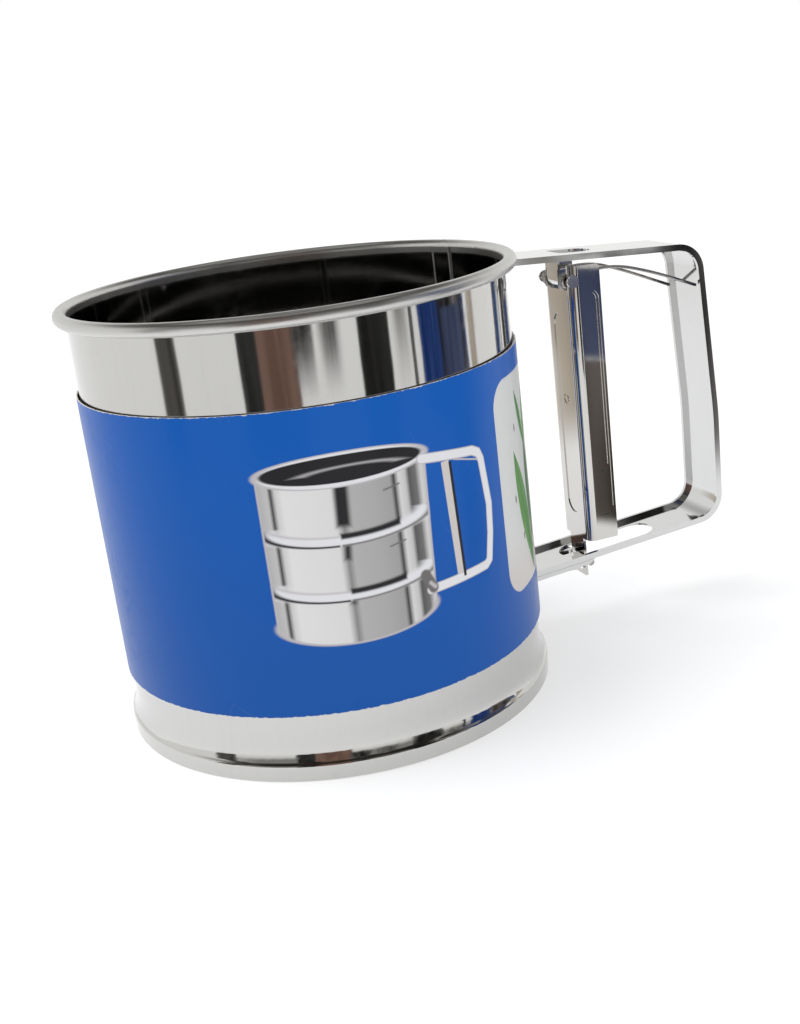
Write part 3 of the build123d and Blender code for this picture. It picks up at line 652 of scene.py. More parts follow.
@dataclass(frozen=True)
class PrintedCard:
    """Gloss-coated card with a picture of the cup, a white panel and bare cut edges."""

    radius_mm: float
    low_mm: float
    high_mm: float
    picture: Spot = (-7.0, 66.2)
    picture_half: float = 17.4
    picture_foot: float = 34.2
    beads: Spot = (55.7, 43.9)
    marks: Spot = (60.3, 48.4)
    coat: float = 0.14
    coat_roughness: float = 0.14
    sheen: float = 0.12
    roughness: float = 0.36
    worn_roughness: float = 0.12
    wall_greys: tuple[Spot, ...] = (
        (0.0, 0.36), (0.055, 0.44), (0.075, 0.03), (0.10, 0.50), (0.14, 0.62), (0.42, 0.58),
        (0.465, 0.20), (0.50, 0.36), (0.66, 0.33), (0.765, 0.29), (0.79, 0.03), (0.82, 0.55),
        (0.86, 0.46), (0.885, 0.08), (0.93, 0.13), (0.965, 0.52), (1.0, 0.42),
    )

    def make(self, shelf: Shelf) -> Material:
        """Builds the printed material.

        Args:
            shelf: The shared shader groups.

        Returns:
            The finished material.
        """
        material, g, shader = new_material("printed_card")
        d = Drawing(g, self.radius_mm)
        colour = g.mix(g.spread(d.v, self.low_mm, self.high_mm), Ink.DEEP_BLUE.value, Ink.BLUE.value)
        colour = self._cup(d, colour)
        colour = self._handle(d, colour)
        colour = self._sprig(d, colour)
        marks = g.use(shelf.hand_marks, scale=90.0, amount=1.0).outputs["Mask"]
        scuffs = g.use(shelf.scuffs, scale=150.0, amount=0.5).outputs["Mask"]
        colour = self._bare_edges(d, colour)
        fibre = g.noise(g.place(), 5200.0, 3.0)
        colour = g.mix(g.math("MULTIPLY", scuffs, 0.15), colour, Ink.CARD.value)
        bump = g.add("Bump")
        bump.inputs["Strength"].default_value = 0.5
        bump.inputs["Distance"].default_value = 1.0
        slow = g.noise(g.place(), 70.0, 1.0)
        g.feed(g.math("MULTIPLY_ADD", slow, 6e-6, g.math("MULTIPLY", fibre, 1.2e-6)), bump.inputs["Height"])
        g.feed(colour, shader.inputs["Base Color"])
        worn = g.math("MAXIMUM", marks, scuffs)
        rough = g.math("MULTIPLY_ADD", worn, self.worn_roughness, self.roughness)
        g.feed(rough, shader.inputs["Roughness"])
        g.feed(bump.outputs["Normal"], shader.inputs["Normal"])
        shader.inputs["Coat Weight"].default_value = self.coat
        shader.inputs["Coat Roughness"].default_value = self.coat_roughness
        shader.inputs["Specular IOR Level"].default_value = self.sheen
        return material

    def _cup(self, d: Drawing, colour: object) -> object:
        """The pictured cup: shaded wall, two beads, rim and dark inside.

        Args:
            d: The drawing.
            colour: What is painted so far.

        Returns:
            The painted colour.
        """
        cu, rim_v = self.picture
        half, foot_v = self.picture_half, self.picture_foot
        foot = d.oval(cu - 0.35, foot_v, half - 0.5, 4.8)
        wall = d.both(d.side(cu - half, 50, 180.5), d.side(cu + half, 66, -1.5),
                      d.side(0, rim_v, 90), d.side(0, foot_v, -90))
        body = d.either(wall, foot)
        ramp = d.g.add("ValToRGB")
        d.g.feed(self._across(d, cu, half), ramp.inputs[0])
        self._fill(ramp, self.wall_greys)
        colour = d.paint(colour, body, ramp.outputs[0])
        for top_v, bottom_v, wide in ((64.0, 54.5, 1.4), (51.5, 47.5, 0.6), (39.8, 38.0, 0.4)):
            band = d.bar((-7.9, top_v), (-8.3, bottom_v), 2.0 * wide)
            colour = d.paint(colour, d.both(body, band), Ink.BLACK, 0.75)
        left, right = d.side(-9.5, 50, 3), d.side(-9.0, 50, 183)
        for bead_v in self.beads:
            lower = d.side(0, bead_v - 0.3, 90)
            arc = d.oval(cu, bead_v, half + 0.4, 4.3)
            under = d.oval(cu, bead_v - 0.9, half + 0.4, 4.3)
            over = d.oval(cu, bead_v + 1.05, half + 0.4, 4.3)
            colour = d.paint(colour, d.both(d.outline(arc, 1.7), lower, body), Ink.WHITE, 0.45)
            colour = d.paint(colour, d.both(d.outline(under, 0.4), lower, body, left), Ink.BLACK, 0.2)
            colour = d.paint(colour, d.both(d.outline(over, 0.3), lower, body, left), Ink.SILVER, 0.3)
            dark = d.both(d.outline(over, 1.15), lower, body, right, d.side(3.4, bead_v, 0))
            colour = d.paint(colour, dark, Ink.BLACK, 0.35)
            colour = d.paint(colour, d.both(d.outline(under, 0.35), lower, body, right), Ink.GREY, 0.25)
        for mark_v in self.marks:
            colour = d.paint(colour, d.bar((0.6, mark_v), (4.2, mark_v + 0.7), 0.35), Ink.GREY, 0.2)
        colour = d.paint(colour, d.outline(body, 0.4), Ink.SILVER, 0.2)
        rim = d.oval(cu, rim_v, half + 0.4, 3.5)
        mouth = d.oval(cu, rim_v + 0.15, half - 0.55, 2.75)
        colour = d.paint(colour, rim, Ink.WHITE)
        colour = d.paint(colour, d.outline(rim, 0.25), Ink.SILVER)
        colour = d.paint(colour, mouth, Ink.BLACK)
        glint = d.outline(d.oval(cu + 1.5, rim_v - 1.6, half - 5.5, 2.2), 0.3)
        return d.paint(colour, d.both(glint, mouth, d.side(0, rim_v - 0.5, -90)), Ink.SILVER, 0.35)

    @staticmethod
    def _across(d: Drawing, centre: float, half: float) -> Socket:
        """How far across the pictured cup a point is, from 0 to 1."""
        return d.g.math("MULTIPLY_ADD", d.u, 0.5 / half, 0.5 - centre * 0.5 / half)

    @staticmethod
    def _fill(ramp: Node, stops: tuple[Spot, ...]) -> None:
        """Sets a grey ramp's stops.

        Args:
            ramp: The ramp's node.
            stops: The place and the grey of each stop.
        """
        elements = ramp.color_ramp.elements
        while len(elements) < len(stops):
            elements.new(1.0)
        for element, (position, grey) in zip(elements, stops):
            element.position = position
            element.color = (grey, grey * 0.985, grey * 0.975, 1.0)

    @staticmethod
    def _handle(d: Drawing, colour: object) -> object:
        """The pictured handle and trigger.

        Args:
            d: The drawing.
            colour: What is painted so far.

        Returns:
            The painted colour.
        """
        loop = ((9.6, 64.7), (23.2, 62.9), (25.0, 62.0), (25.8, 60.3), (27.1, 50.2), (26.6, 44.0),
                (25.4, 38.2), (24.2, 37.4), (8.6, 36.9))
        strip = d.either(*[d.stroke(start, end, 1.7) for start, end in zip(loop, loop[1:])])
        colour = d.paint(colour, d.g.math("SUBTRACT", strip, 0.22), Ink.SILVER)
        colour = d.paint(colour, strip, Ink.WHITE)
        colour = d.paint(colour, d.bar((15.3, 62.8), (16.6, 38.0), 2.0), Ink.WARM_WHITE)
        colour = d.paint(colour, d.bar((16.6, 62.4), (17.6, 37.2), 0.7), Ink.BLACK)
        colour = d.paint(colour, d.bar((17.6, 62.6), (24.8, 60.6), 0.35), Ink.SILVER)
        colour = d.paint(colour, d.stroke((7.6, 40.4), (9.2, 37.2), 2.3), Ink.GREY, 0.3)
        return d.paint(colour, d.stroke((8.6, 38.4), (9.6, 37.3), 0.8), Ink.SILVER, 0.3)

    @staticmethod
    def _sprig(d: Drawing, colour: object) -> object:
        """The white panel with a green sprig beside the handle.

        Args:
            d: The drawing.
            colour: What is painted so far.

        Returns:
            The painted colour.
        """
        panel = d.panel(45.2, 50.2, 12.8, 24.1, 6.0)
        ground = d.g.mix(d.g.spread(d.v, 26.0, 44.0), Ink.WARM_WHITE.value, Ink.PALE.value)
        colour = d.paint(colour, panel, ground)
        for start, end, width, ink in (
            ((40.6, 57.5), (49.6, 27.6), 6.2, Ink.LEAF),
            ((50.5, 60.0), (51.8, 33.0), 5.4, Ink.DARK_LEAF),
            ((44.6, 70.2), (50.4, 56.0), 2.6, Ink.LEAF),
            ((53.6, 70.0), (50.6, 54.0), 3.4, Ink.LEAF),
        ):
            colour = d.paint(colour, d.both(d.leaf(start, end, width), panel), ink)
            colour = d.paint(colour, d.both(d.bar(start, end, 0.3), panel), Ink.DARK_LEAF)
        colour = d.paint(colour, d.both(d.bar((50.2, 27.0), (50.8, 58.0), 0.7), panel), Ink.DARK_LEAF)
        for u, v in ((42.4, 62.4), (39.4, 47.0), (43.0, 37.4)):
            colour = d.paint(colour, d.oval(u, v, 0.4, 0.9), Ink.GREY)
        return colour

    def _bare_edges(self, d: Drawing, colour: object) -> object:
        """Uncoated card on the cut edges and the inside, with a little wear along them.

        Args:
            d: The drawing.
            colour: What is painted so far.

        Returns:
            The painted colour.
        """
        g = d.g
        facing = g.add("SeparateXYZ")
        g.feed(g.add("NewGeometry").outputs["Normal"], facing.inputs[0])
        cut = g.spread(g.math("ABSOLUTE", facing.outputs[2]), 0.5, 0.8)
        inner, outer = (self.radius_mm - 0.12) * MM, (self.radius_mm - 0.04) * MM
        inside = g.spread(d.reach, inner, outer, 1.0, 0.0)
        margin = g.math("MINIMUM", g.math("SUBTRACT", d.v, self.low_mm),
                        g.math("SUBTRACT", self.high_mm, d.v))
        worn = g.spread(g.math("ADD", margin, g.noise(g.place(), 900.0, 4.0)), 0.42, 0.62, 1.0, 0.0)
        bare = g.math("MAXIMUM", g.math("MAXIMUM", cut, inside), worn)
        return g.mix(bare, colour, Ink.CARD.value)


# ---- mesh making ---------------------------------------------------------------------------------
@dataclass
class WireBundle:
    """Collects round wires and turns them into one mesh."""

    radius: float
    sides: int
    vertices: list[np.ndarray] = field(default_factory=list)
    faces: list[np.ndarray] = field(default_factory=list)
    caps: list[list[int]] = field(default_factory=list)
    count: int = 0

    def add(self, path: np.ndarray) -> None:
        """Adds one wire that follows a path.

        Args:
            path: Its centre line, one point a row.
        """
        tangent = np.gradient(path, axis=0)
        tangent /= np.linalg.norm(tangent, axis=1)[:, None]
        upright = abs(tangent[0][2]) >= 0.9
        side = np.cross(tangent[0], (1.0, 0.0, 0.0) if upright else (0.0, 0.0, 1.0))
        rings = []
        for point, along in zip(path, tangent):
            side = side - along * side.dot(along)
            side /= np.linalg.norm(side)
            up = np.cross(along, side)
            turn = (np.arange(self.sides) + 0.5) * 2 * math.pi / self.sides
            ring = np.cos(turn)[:, None] * side + np.sin(turn)[:, None] * up
            rings.append(point + self.radius * ring)
        n, k = len(path), self.sides
        index = self.count + np.arange(n * k).reshape(n, k)
        after = np.roll(index, -1, axis=1)
        quads = np.stack([index[:-1], after[:-1], after[1:], index[1:]], axis=-1).reshape(-1, 4)
        self.vertices.append(np.concatenate(rings))
        self.faces.append(quads)
        self.caps += [index[0][::-1].tolist(), index[-1].tolist()]
        self.count += n * k

    def build(self, name: str) -> Object:
        """Makes the object, smooth shaded and linked to the scene.

        Args:
            name: The piece's name.

        Returns:
            The new object.
        """
        mesh = bpy.data.meshes.new(name)
        faces = np.concatenate(self.faces).tolist() + self.caps
        mesh.from_pydata(np.concatenate(self.vertices).tolist(), [], faces)
        mesh.validate()
        mesh.polygons.foreach_set("use_smooth", [True] * len(mesh.polygons))
        mesh.update()
        made = bpy.data.objects.new(name, mesh)
        bpy.context.scene.collection.objects.link(made)
        return made


def smooth_path(points: list[Point], steps: int = 12, corner: float = 0.0012) -> np.ndarray:
    """A path along straight runs with each corner rounded by a short curve.

    Args:
        points: The corners, with both ends.
        steps: Points on each rounded corner.
        corner: How far from a corner its curve starts.

    Returns:
        The path, one point a row.
    """
    raw = [np.array(p, float) for p in points]
    path = [raw[0]]
    for before, here, after in zip(raw, raw[1:], raw[2:]):
        cut = min(corner, 0.45 * np.linalg.norm(here - before), 0.45 * np.linalg.norm(after - here))
        start = here + (before - here) / np.linalg.norm(before - here) * cut
        end = here + (after - here) / np.linalg.norm(after - here) * cut
        for t in np.linspace(0.0, 1.0, steps):
            path.append((1 - t) ** 2 * start + 2 * t * (1 - t) * here + t**2 * end)
    path.append(raw[-1])
    return np.array(path)


def dress(node: str, material: Material) -> None:
    """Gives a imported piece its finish.

    Args:
        node: The piece's name.
        material: The finish.
    """
    mesh = frame["nodes"][node].data
    mesh.materials.clear()
    mesh.materials.append(material)
    log.info("dressed %s", node)


# ---- sub-assemblies ------------------------------------------------------------------------------
@dataclass
class Cup:
    """The cup's wall and its ring."""

    shelf: Shelf

    def build(self) -> None:
        """Dresses the cup's own pieces."""
        dress("body_shell", CUP_STEEL.make(self.shelf))
        dress("screen_ring", RING_STEEL.make(self.shelf))


@dataclass
class Sleeve:
    """The printed card round the cup."""

    shelf: Shelf

    def build(self) -> None:
        """Prints the sleeve to the size that the frame gives it."""
        low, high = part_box("card_sleeve")
        card = PrintedCard(high.y / MM, low.z / MM, high.z / MM)
        dress("card_sleeve", card.make(self.shelf))


@dataclass
class Screen:
    """The woven wire mesh, with wires that turn up at the wall and end raggedly."""

    shelf: Shelf
    pitch: float = 1.4 * MM
    wire_radius: float = 0.15 * MM
    wave: float = 0.14 * MM
    bend: float = 0.35 * MM
    lift: float = 0.06 * MM
    sides: int = 4
    seed: int = 11
    shortest_end: float = 0.62

    def build(self) -> Object:
        """Weaves the mesh in the place of the plain sheet.

        Returns:
            The woven mesh.
        """
        low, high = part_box("mesh_screen")
        reach = high.x - self.wire_radius
        level = (low.z + self.wave + self.wire_radius) + self.lift
        rise = high.z - level
        bundle = WireBundle(self.wire_radius, self.sides)
        rng = np.random.default_rng(self.seed)
        count = int(reach / self.pitch)
        for row in range(-count, count + 1):
            for warp in (True, False):
                path = self._wire(row, warp, reach, level, rise, rng)
                if path is not None:
                    bundle.add(path)
        mesh = bundle.build("mesh_wires")
        mesh.data.materials.append(MESH_STEEL.make(self.shelf))
        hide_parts("mesh_screen")
        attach(mesh, "sifter_body")
        log.info("wove %d wires", len(bundle.vertices))
        return mesh

    def _wire(self, row: int, warp: bool, reach: float, level: float, rise: float,
              rng: np.random.Generator) -> np.ndarray | None:
        """One wire across the mesh, over and under its neighbours.

        Args:
            row: Which wire, counted from the middle.
            warp: Whether it runs along X.
            reach: The mesh's radius.
            level: The height of the weave's middle.
            rise: How far the turned-up ends stand above it.
            rng: Gives the ends their uneven length.

        Returns:
            Its centre line, or None where there is no room for a wire.
        """
        across = row * self.pitch
        half = math.sqrt(max(reach**2 - across**2, 0.0))
        if half < 2 * self.pitch:
            return None
        steps = int((half - self.bend) / self.pitch * 2)
        along = np.arange(-steps, steps + 1) * self.pitch / 2
        sign = (1.0 if row % 2 == 0 else -1.0) * (1.0 if warp else -1.0)
        height = level + sign * self.wave * np.cos(np.pi * along / self.pitch)
        rows = [(-half, level + rise * rng.uniform(self.shortest_end, 1.0)), (-half, level + self.bend)]
        rows += list(zip(along, height))
        rows += [(half, level + self.bend), (half, level + rise * rng.uniform(self.shortest_end, 1.0))]
        flat = np.array(rows)
        fixed = np.full(len(flat), across)
        columns = (flat[:, 0], fixed, flat[:, 1]) if warp else (fixed, flat[:, 0], flat[:, 1])
        return np.stack(columns, axis=1)


@dataclass
class Handle:
    """The strap, its rivets and the guard under it."""

    shelf: Shelf

    def build(self) -> None:
        """Dresses the handle's pieces."""
        strap = STRAP_STEEL.make(self.shelf)
        dress("handle_strap", strap)
        dress("rod_guard", strap)
        dress("handle_rivets", RIVET_STEEL.make(self.shelf))


@dataclass
class Trigger:
    """The lever, its pin and the double torsion spring."""

    shelf: Shelf
    wire_radius: float = 0.4 * MM
    sides: int = 12
    pin_radius: float = 1.0 * MM
    coil_slack: float = 0.15 * MM
    coil_start: float = 3.1 * MM
    coil_gap: float = 0.03 * MM
    turns: int = 2
    shoulder: Spot = (0.9 * MM, 2.7 * MM)
    bridge: Spot = (0.62 * MM, 8.6 * MM)
    leg_corner: float = 6.0 * MM
    bridge_corner: float = 1.4 * MM
    bend_start: Spot = (31.0 * MM, 3.0 * MM)
    bend_end: float = 4.0 * MM

    def build(self) -> Object:
        """Dresses the lever and winds the spring.

        Returns:
            The spring.
        """
        dress("trigger", TRIGGER_STEEL.make(self.shelf))
        dress("trigger_pin", RIVET_STEEL.make(self.shelf))
        bundle = WireBundle(self.wire_radius, self.sides)
        bundle.add(self._spring_line())
        spring = bundle.build("spring_wire")
        spring.data.materials.append(WIRE_STEEL.make(self.shelf))
        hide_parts("return_spring")
        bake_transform(spring)
        log.info("wound the spring")
        return spring

    def _spring_line(self) -> np.ndarray:
        """The spring's centre line, from the near leg's tip over both coils to the far leg's tip.

        Returns:
            The centre line, one point a row.
        """
        hinge = frame["joints"][0]["pos_m"]
        coil = self.pin_radius + self.coil_slack + self.wire_radius
        advance = 2 * self.wire_radius + self.coil_gap
        near = [(0.1012, -5.6, 0.0806), (0.0905, -5.3, 0.0853), (0.0800, -4.9, 0.0888)]
        far = [(0.0785, 4.9, 0.0888), (0.0877, 5.2, 0.0854), (0.1004, 5.4, 0.0797)]
        outer = self.coil_start + self.wire_radius + self.turns * advance
        inner = self.coil_start + self.wire_radius
        angles = np.linspace(0.5 * math.pi, (0.5 + 2 * self.turns + 0.5) * math.pi, 24 * self.turns + 6)
        share = (angles - angles[0]) / (angles[-1] - angles[0])
        (step_out, step_down), (low_out, low_down) = self.shoulder, self.bridge
        fall = [(-coil, -coil), (step_out, -step_down), (low_out, -low_down)]
        drop = [(hinge[0] + x, -inner, hinge[2] + z) for x, z in fall]
        drop += [(x, inner, z) for x, _, z in reversed(drop)]
        turn = [(hinge[0] + coil * math.cos(a), -outer + (outer - inner) * s, hinge[2] + coil * math.sin(a))
                for a, s in zip(angles, share)]
        back = [(x, -y, z) for x, y, z in reversed(turn)]
        legs = [[(x, y * MM, z) for x, y, z in leg] for leg in (near, far)]
        start = smooth_path(legs[0] + [turn[0]], corner=self.leg_corner)
        middle = smooth_path([turn[-1]] + drop + [back[0]], corner=self.bridge_corner)
        end = smooth_path([back[-1]] + legs[1], corner=self.leg_corner)
        return np.concatenate([start[:-1], np.array(turn), middle[1:-1], np.array(back), end[1:]])


@dataclass
class Stirrer:
    """The rod, the rocking star and the bridge that it hangs from."""

    shelf: Shelf

    def build(self) -> None:
        """Dresses the linkage's pieces."""
        pressed = PRESSED_STEEL.make(self.shelf)
        dress("spider_bracket", pressed)
        dress("agitator", pressed)
        dress("pull_rod", WIRE_STEEL.make(self.shelf))
        rivet = RIVET_STEEL.make(self.shelf)
        for node in ("axle_rivet", "spacer_bush", "axle_washer"):
            dress(node, rivet)


# ---- set -----------------------------------------------------------------------------------------
@dataclass(frozen=True)
class Flag:
    """A card beside the set that only reflections see, with soft uneven edges."""

    name: str
    centre: Spot
    width: float
    low: float
    high: float
    colour: Colour
    soft: float = 0.25
    fade: float = 0.004
    streaks: float = 0.3

    def build(self) -> Object:
        """Makes the card, facing the cup's axis, and hides it from everything but reflections.

        Returns:
            The card.
        """
        out = Vector((*self.centre, 0.0)).normalized()
        side = Vector((-out.y, out.x, 0.0))
        base = Vector((*self.centre, 0.0))
        ends = (base - side * self.width / 2, base + side * self.width / 2)
        heights = (self.low, self.low, self.high, self.high)
        points = [(end.x, end.y, z) for end, z in zip((*ends, *reversed(ends)), heights)]
        mesh = bpy.data.meshes.new(self.name)
        mesh.from_pydata(points, [], [(0, 1, 2, 3)])
        card = bpy.data.objects.new(self.name, mesh)
        bpy.context.scene.collection.objects.link(card)
        mesh.materials.append(self._paint(base, side))
        for ray in ("camera", "diffuse", "shadow", "transmission"):
            setattr(card, f"visible_{ray}", False)
        return card

    def _paint(self, base: Vector, side: Vector) -> Material:
        """A glowing colour that thins out towards the card's edges.

        Args:
            base: The middle of the card's foot.
            side: Which way the card runs.

        Returns:
            The material.
        """
        material, g, shader = new_material(self.name)
        away = g.add("VectorMath", operation="DOT_PRODUCT")
        g.feed(g.place(), away.inputs[0])
        away.inputs[1].default_value = side
        wobble = g.math("MULTIPLY_ADD", g.noise(g.place(), 22.0, 2.0), 0.3, -0.15)
        across = g.math("MULTIPLY_ADD", away.outputs["Value"], 2 / self.width,
                        -base.dot(side) * 2 / self.width)
        reach = g.math("ABSOLUTE", g.math("ADD", across, wobble))
        split = g.add("SeparateXYZ")
        g.feed(g.place(), split.inputs[0])
        edge = g.spread(reach, 1.0 - self.soft - 0.15, 0.85, 1.0, 0.0)
        rise = g.math("MULTIPLY_ADD", wobble, self.fade, split.outputs[2])
        foot = g.spread(rise, self.low, self.low + self.fade)
        shader.inputs["Base Color"].default_value = (0.0, 0.0, 0.0, 1.0)
        shader.inputs["Specular IOR Level"].default_value = 0.0
        drift = g.noise(g.stretched((1.0, 1.0, 0.12)), 60.0, 2.0)
        lighter = tuple(part * (1.0 + self.streaks) + 0.15 * self.streaks for part in self.colour)
        darker = tuple(part * (1.0 - self.streaks) for part in self.colour)
        g.feed(g.mix(g.spread(drift, 0.35, 0.65), darker, lighter), shader.inputs["Emission Color"])
        g.feed(g.math("MULTIPLY", edge, foot), shader.inputs["Alpha"])
        shader.inputs["Emission Strength"].default_value = 1.0
        return material


RING_REACH = 0.3
SOFT_MARGIN = 1.25  # how much wider a card is than its reflection, for its soft edges


def ringed(name: str, start: float, end: float, low: float, high: float, colour: Colour,
           **more: float) -> Flag:
    """A flag on a ring round the cup's axis.

    Args:
        name: The card's name.
        start: The direction of one edge, in degrees.
        end: The direction of the other edge.
        low: Its foot's height.
        high: Its top's height.
        colour: What it glows with.
        more: Its softness, fade and streaks.

    Returns:
        The flag.
    """
    middle = math.radians((start + end) / 2)
    width = 2 * RING_REACH * math.sin(math.radians(abs(end - start) / 2))
    centre = (RING_REACH * math.cos(middle), RING_REACH * math.sin(middle))
    return Flag(name, centre, width * SOFT_MARGIN, low, high, colour, **more)


@dataclass
class Studio:
    """The floor, the sky, the lamps and the reflected cards."""

    flags: tuple[Flag, ...] = (
        ringed("flag_far_left", -172, -160, 0.0, 0.30, (0.05, 0.045, 0.04)),
        ringed("flag_edge", -131, -122, 0.0, 0.30, (0.010, 0.010, 0.010), soft=0.12),
        ringed("flag_brown", -123, -104.6, 0.0, 0.30, (0.20, 0.115, 0.088), soft=0.10, streaks=0.15),
        ringed("flag_coat", -107, -96, 0.020, 0.30, (0.030, 0.028, 0.026),
               soft=0.35, fade=0.030, streaks=0.6),
        ringed("flag_arm", -95, -83, 0.022, 0.30, (0.07, 0.064, 0.06),
               soft=0.7, fade=0.03, streaks=0.8),
        ringed("flag_black", -76, -61, 0.0, 0.34, (0.016, 0.016, 0.014), soft=0.08, streaks=0.1),
        ringed("flag_grey", -61, -49, 0.010, 0.30, (0.22, 0.21, 0.19),
               soft=0.9, fade=0.05, streaks=0.8),
        ringed("flag_line", -50, -47.8, 0.0, 0.20, (0.03, 0.03, 0.03), soft=0.3),
        ringed("flag_blue", -44.3, -14, 0.0, 0.20, (0.010, 0.045, 0.20), soft=0.05, streaks=0.25),
        ringed("flag_lilac", -35, -23, 0.036, 0.20, (0.09, 0.07, 0.15), soft=0.4, fade=0.01),
        ringed("flag_wood", -13, -7, 0.0, 0.30, (0.42, 0.36, 0.29), soft=0.5),
        Flag("flag_low_copy", (0.103, -0.070), 0.034, 0.0, 0.052, (0.060, 0.048, 0.040),
             soft=0.15, streaks=0.5),
        Flag("flag_high_copy", (0.1035, -0.0705), 0.034, 0.050, 0.079, (0.010, 0.024, 0.085),
             soft=0.15, streaks=0.5),
        Flag("flag_over_copy", (0.110, -0.0720), 0.050, 0.080, 0.120, (0.28, 0.28, 0.28),
             soft=0.3, streaks=0.9),
        Flag("flag_rear_copy", (0.150, -0.085), 0.070, 0.0, 0.090, (0.14, 0.13, 0.125),
             soft=0.3, fade=0.02, streaks=0.9),
        Flag("flag_behind", (-0.009, 0.132), 0.042, 0.0, 0.110, (0.50, 0.445, 0.37),
             soft=0.3, fade=0.02, streaks=0.2),
    )

    def build(self) -> None:
        """Builds the whole set."""
        self._floor()
        for flag in self.flags:
            flag.build()
        self._sky()
        self._lamp("key_lamp", (-0.45, 0.25, 1.05), size=0.9, power=13.0)
        self._lamp("front_lamp", (0.35, -0.95, 0.75), size=0.7, power=5.0)
        bpy.context.scene.view_settings.view_transform = "Standard"
        log.info("set built")

    @staticmethod
    def _floor() -> None:
        """A white sheet that glows with painted light, which lightens its shadows and fades it into the
        sky's white.
        """
        mesh = bpy.data.meshes.new("floor")
        rings, spokes = (0.2, 0.5, 1.0, 2.0, 6.0), 48
        turns = [k * math.tau / spokes for k in range(spokes)]
        points = [(0.0, 0.0, 0.0)]
        points += [(r * math.cos(turn), r * math.sin(turn), 0.0) for r in rings for turn in turns]
        faces = [(0, 1 + k, 1 + (k + 1) % spokes) for k in range(spokes)]
        for ring in range(len(rings) - 1):
            a, b = 1 + ring * spokes, 1 + (ring + 1) * spokes
            faces += [(a + k, b + k, b + (k + 1) % spokes, a + (k + 1) % spokes)
                      for k in range(spokes)]
        mesh.from_pydata(points, [], faces)
        floor = bpy.data.objects.new("floor", mesh)
        floor.location.z = -0.0002
        bpy.context.scene.collection.objects.link(floor)
        material, g, shader = new_material("white_sheet")
        away = g.add("VectorMath", operation="LENGTH")
        g.feed(g.place(), away.inputs[0])
        # painted light: the floor glows at 0.45 by the cup, lightening the shadows on it, and at full white
        # from 0.42 m out
        fade = g.spread(away.outputs["Value"], 0.05, 0.42, 0.45, 1.0)
        paper = g.mix(g.noise(g.place(), 900.0, 3.0), (0.86, 0.86, 0.86), (0.89, 0.89, 0.89))
        g.feed(g.mix(fade, paper, (0.0, 0.0, 0.0)), shader.inputs["Base Color"])
        g.feed(g.mix(fade, (0.0, 0.0, 0.0), (1.0, 1.0, 1.0)), shader.inputs["Emission Color"])
        shader.inputs["Emission Strength"].default_value = 1.0
        shader.inputs["Roughness"].default_value = 0.55
        shader.inputs["Specular IOR Level"].default_value = 0.12
        mesh.materials.append(material)

    @staticmethod
    def _sky() -> None:
        """White for the eye and the light; for reflections, a dim room with a bright wall behind."""
        world = bpy.data.worlds.new("sky")
        bpy.context.scene.world = world
        world.use_nodes = True
        g = Graph(world.node_tree)
        world.node_tree.nodes.clear()
        split = g.add("SeparateXYZ")
        g.feed(g.add("TexCoord").outputs["Generated"], split.inputs[0])
        x, y, z = split.outputs
        turn = g.math("ARCTAN2", y, x)
        aside = g.math("ABSOLUTE", g.math("SUBTRACT", turn, math.radians(-100)))
        front = g.spread(aside, 0.9, 1.5, 1.0, 0.0)
        level = g.spread(z, 0.45, 0.75, 1.0, 0.0)
        wall = g.math("MULTIPLY_ADD", g.math("MULTIPLY", front, g.spread(z, 0.02, 0.2)), -0.72, 1.0)
        lamp = g.spread(g.math("ABSOLUTE", g.math("SUBTRACT", z, 0.93)), 0.03, 0.06, 0.55, 0.0)
        shine = g.math("MAXIMUM", g.math("MULTIPLY", wall, level), lamp)
        room = g.mix(shine, (0.035, 0.030, 0.026), (1.0, 1.0, 0.985))
        path = g.add("LightPath")
        lit = g.mix(path.outputs["Is Diffuse Ray"], room, (0.72, 0.73, 0.75))
        seen = g.mix(path.outputs["Is Camera Ray"], lit, (1.0, 1.0, 1.0))
        background = g.add("Background")
        output = g.add("OutputWorld")
        g.feed(seen, background.inputs["Color"])
        g.feed(background.outputs[0], output.inputs[0])

    @staticmethod
    def _lamp(name: str, place: Point, size: float, power: float) -> None:
        """A square soft lamp that faces the object.

        Args:
            name: The lamp's name.
            place: Where it stands.
            size: Its side's length.
            power: Its power in watts.
        """
        light = bpy.data.lights.new(name, "AREA")
        light.shape = "SQUARE"
        light.size = size
        light.energy = power
        lamp = bpy.data.objects.new(name, light)
        lamp.location = place
        aim = Vector((0.0, 0.0, 0.05)) - Vector(place)
        lamp.rotation_euler = aim.to_track_quat("-Z", "Y").to_euler()
        lamp.visible_glossy = False
        bpy.context.scene.collection.objects.link(lamp)


@dataclass(frozen=True)
class Viewpoint:
    """The camera: close above the cup's left front, leaning a little to its right."""

    place: Point = (-0.0775, -0.2932, 0.1375)
    heading: float = 71.6
    pitch: float = -17.8
    roll: float = -7.0
    lens_mm: float = 31.6
    sensor_mm: float = 24.0

    def build(self) -> None:
        """Makes the camera and gives it to the scene."""
        camera = bpy.data.cameras.new("camera")
        camera.sensor_fit = "VERTICAL"
        camera.sensor_height = self.sensor_mm
        camera.lens = self.lens_mm
        camera.clip_start = 0.01
        seat = bpy.data.objects.new("camera", camera)
        bpy.context.scene.collection.objects.link(seat)
        heading, pitch = math.radians(self.heading), math.radians(self.pitch)
        level = Vector((math.cos(heading), math.sin(heading), 0.0))
        ahead = math.cos(pitch) * level + Vector((0.0, 0.0, math.sin(pitch)))
        right = ahead.cross(Vector((0.0, 0.0, 1.0))).normalized()
        right = Matrix.Rotation(-math.radians(self.roll), 3, ahead) @ right
        up = right.cross(ahead)
        axes = Matrix((right, up, -ahead)).transposed()
        seat.matrix_world = Matrix.Translation(self.place) @ axes.to_4x4()
        bpy.context.scene.camera = seat


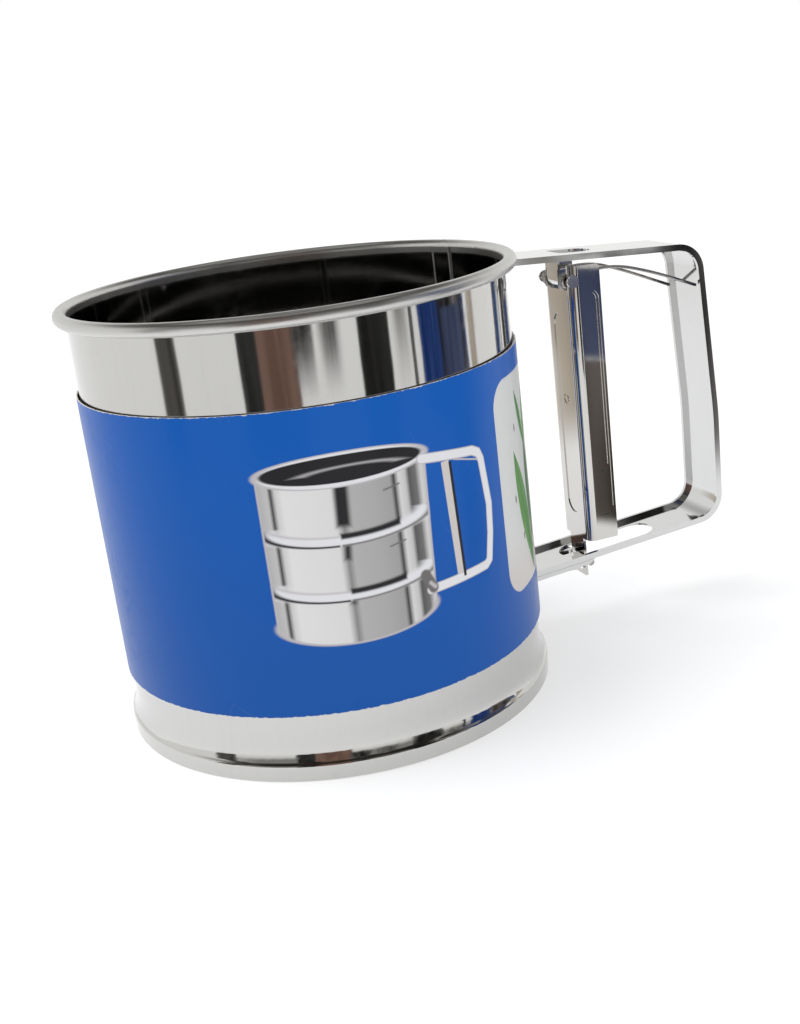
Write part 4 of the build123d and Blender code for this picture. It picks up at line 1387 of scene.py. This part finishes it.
def main() -> None:
    """Builds the set and every sub-assembly in order."""
    logging.basicConfig(level=logging.INFO, format="%(name)s: %(message)s")
    shelf = Shelf()
    Viewpoint().build()
    for part in (Cup(shelf), Sleeve(shelf), Screen(shelf), Handle(shelf), Trigger(shelf), Stirrer(shelf)):
        part.build()
    Studio().build()


if __name__ == "__main__":
    main()
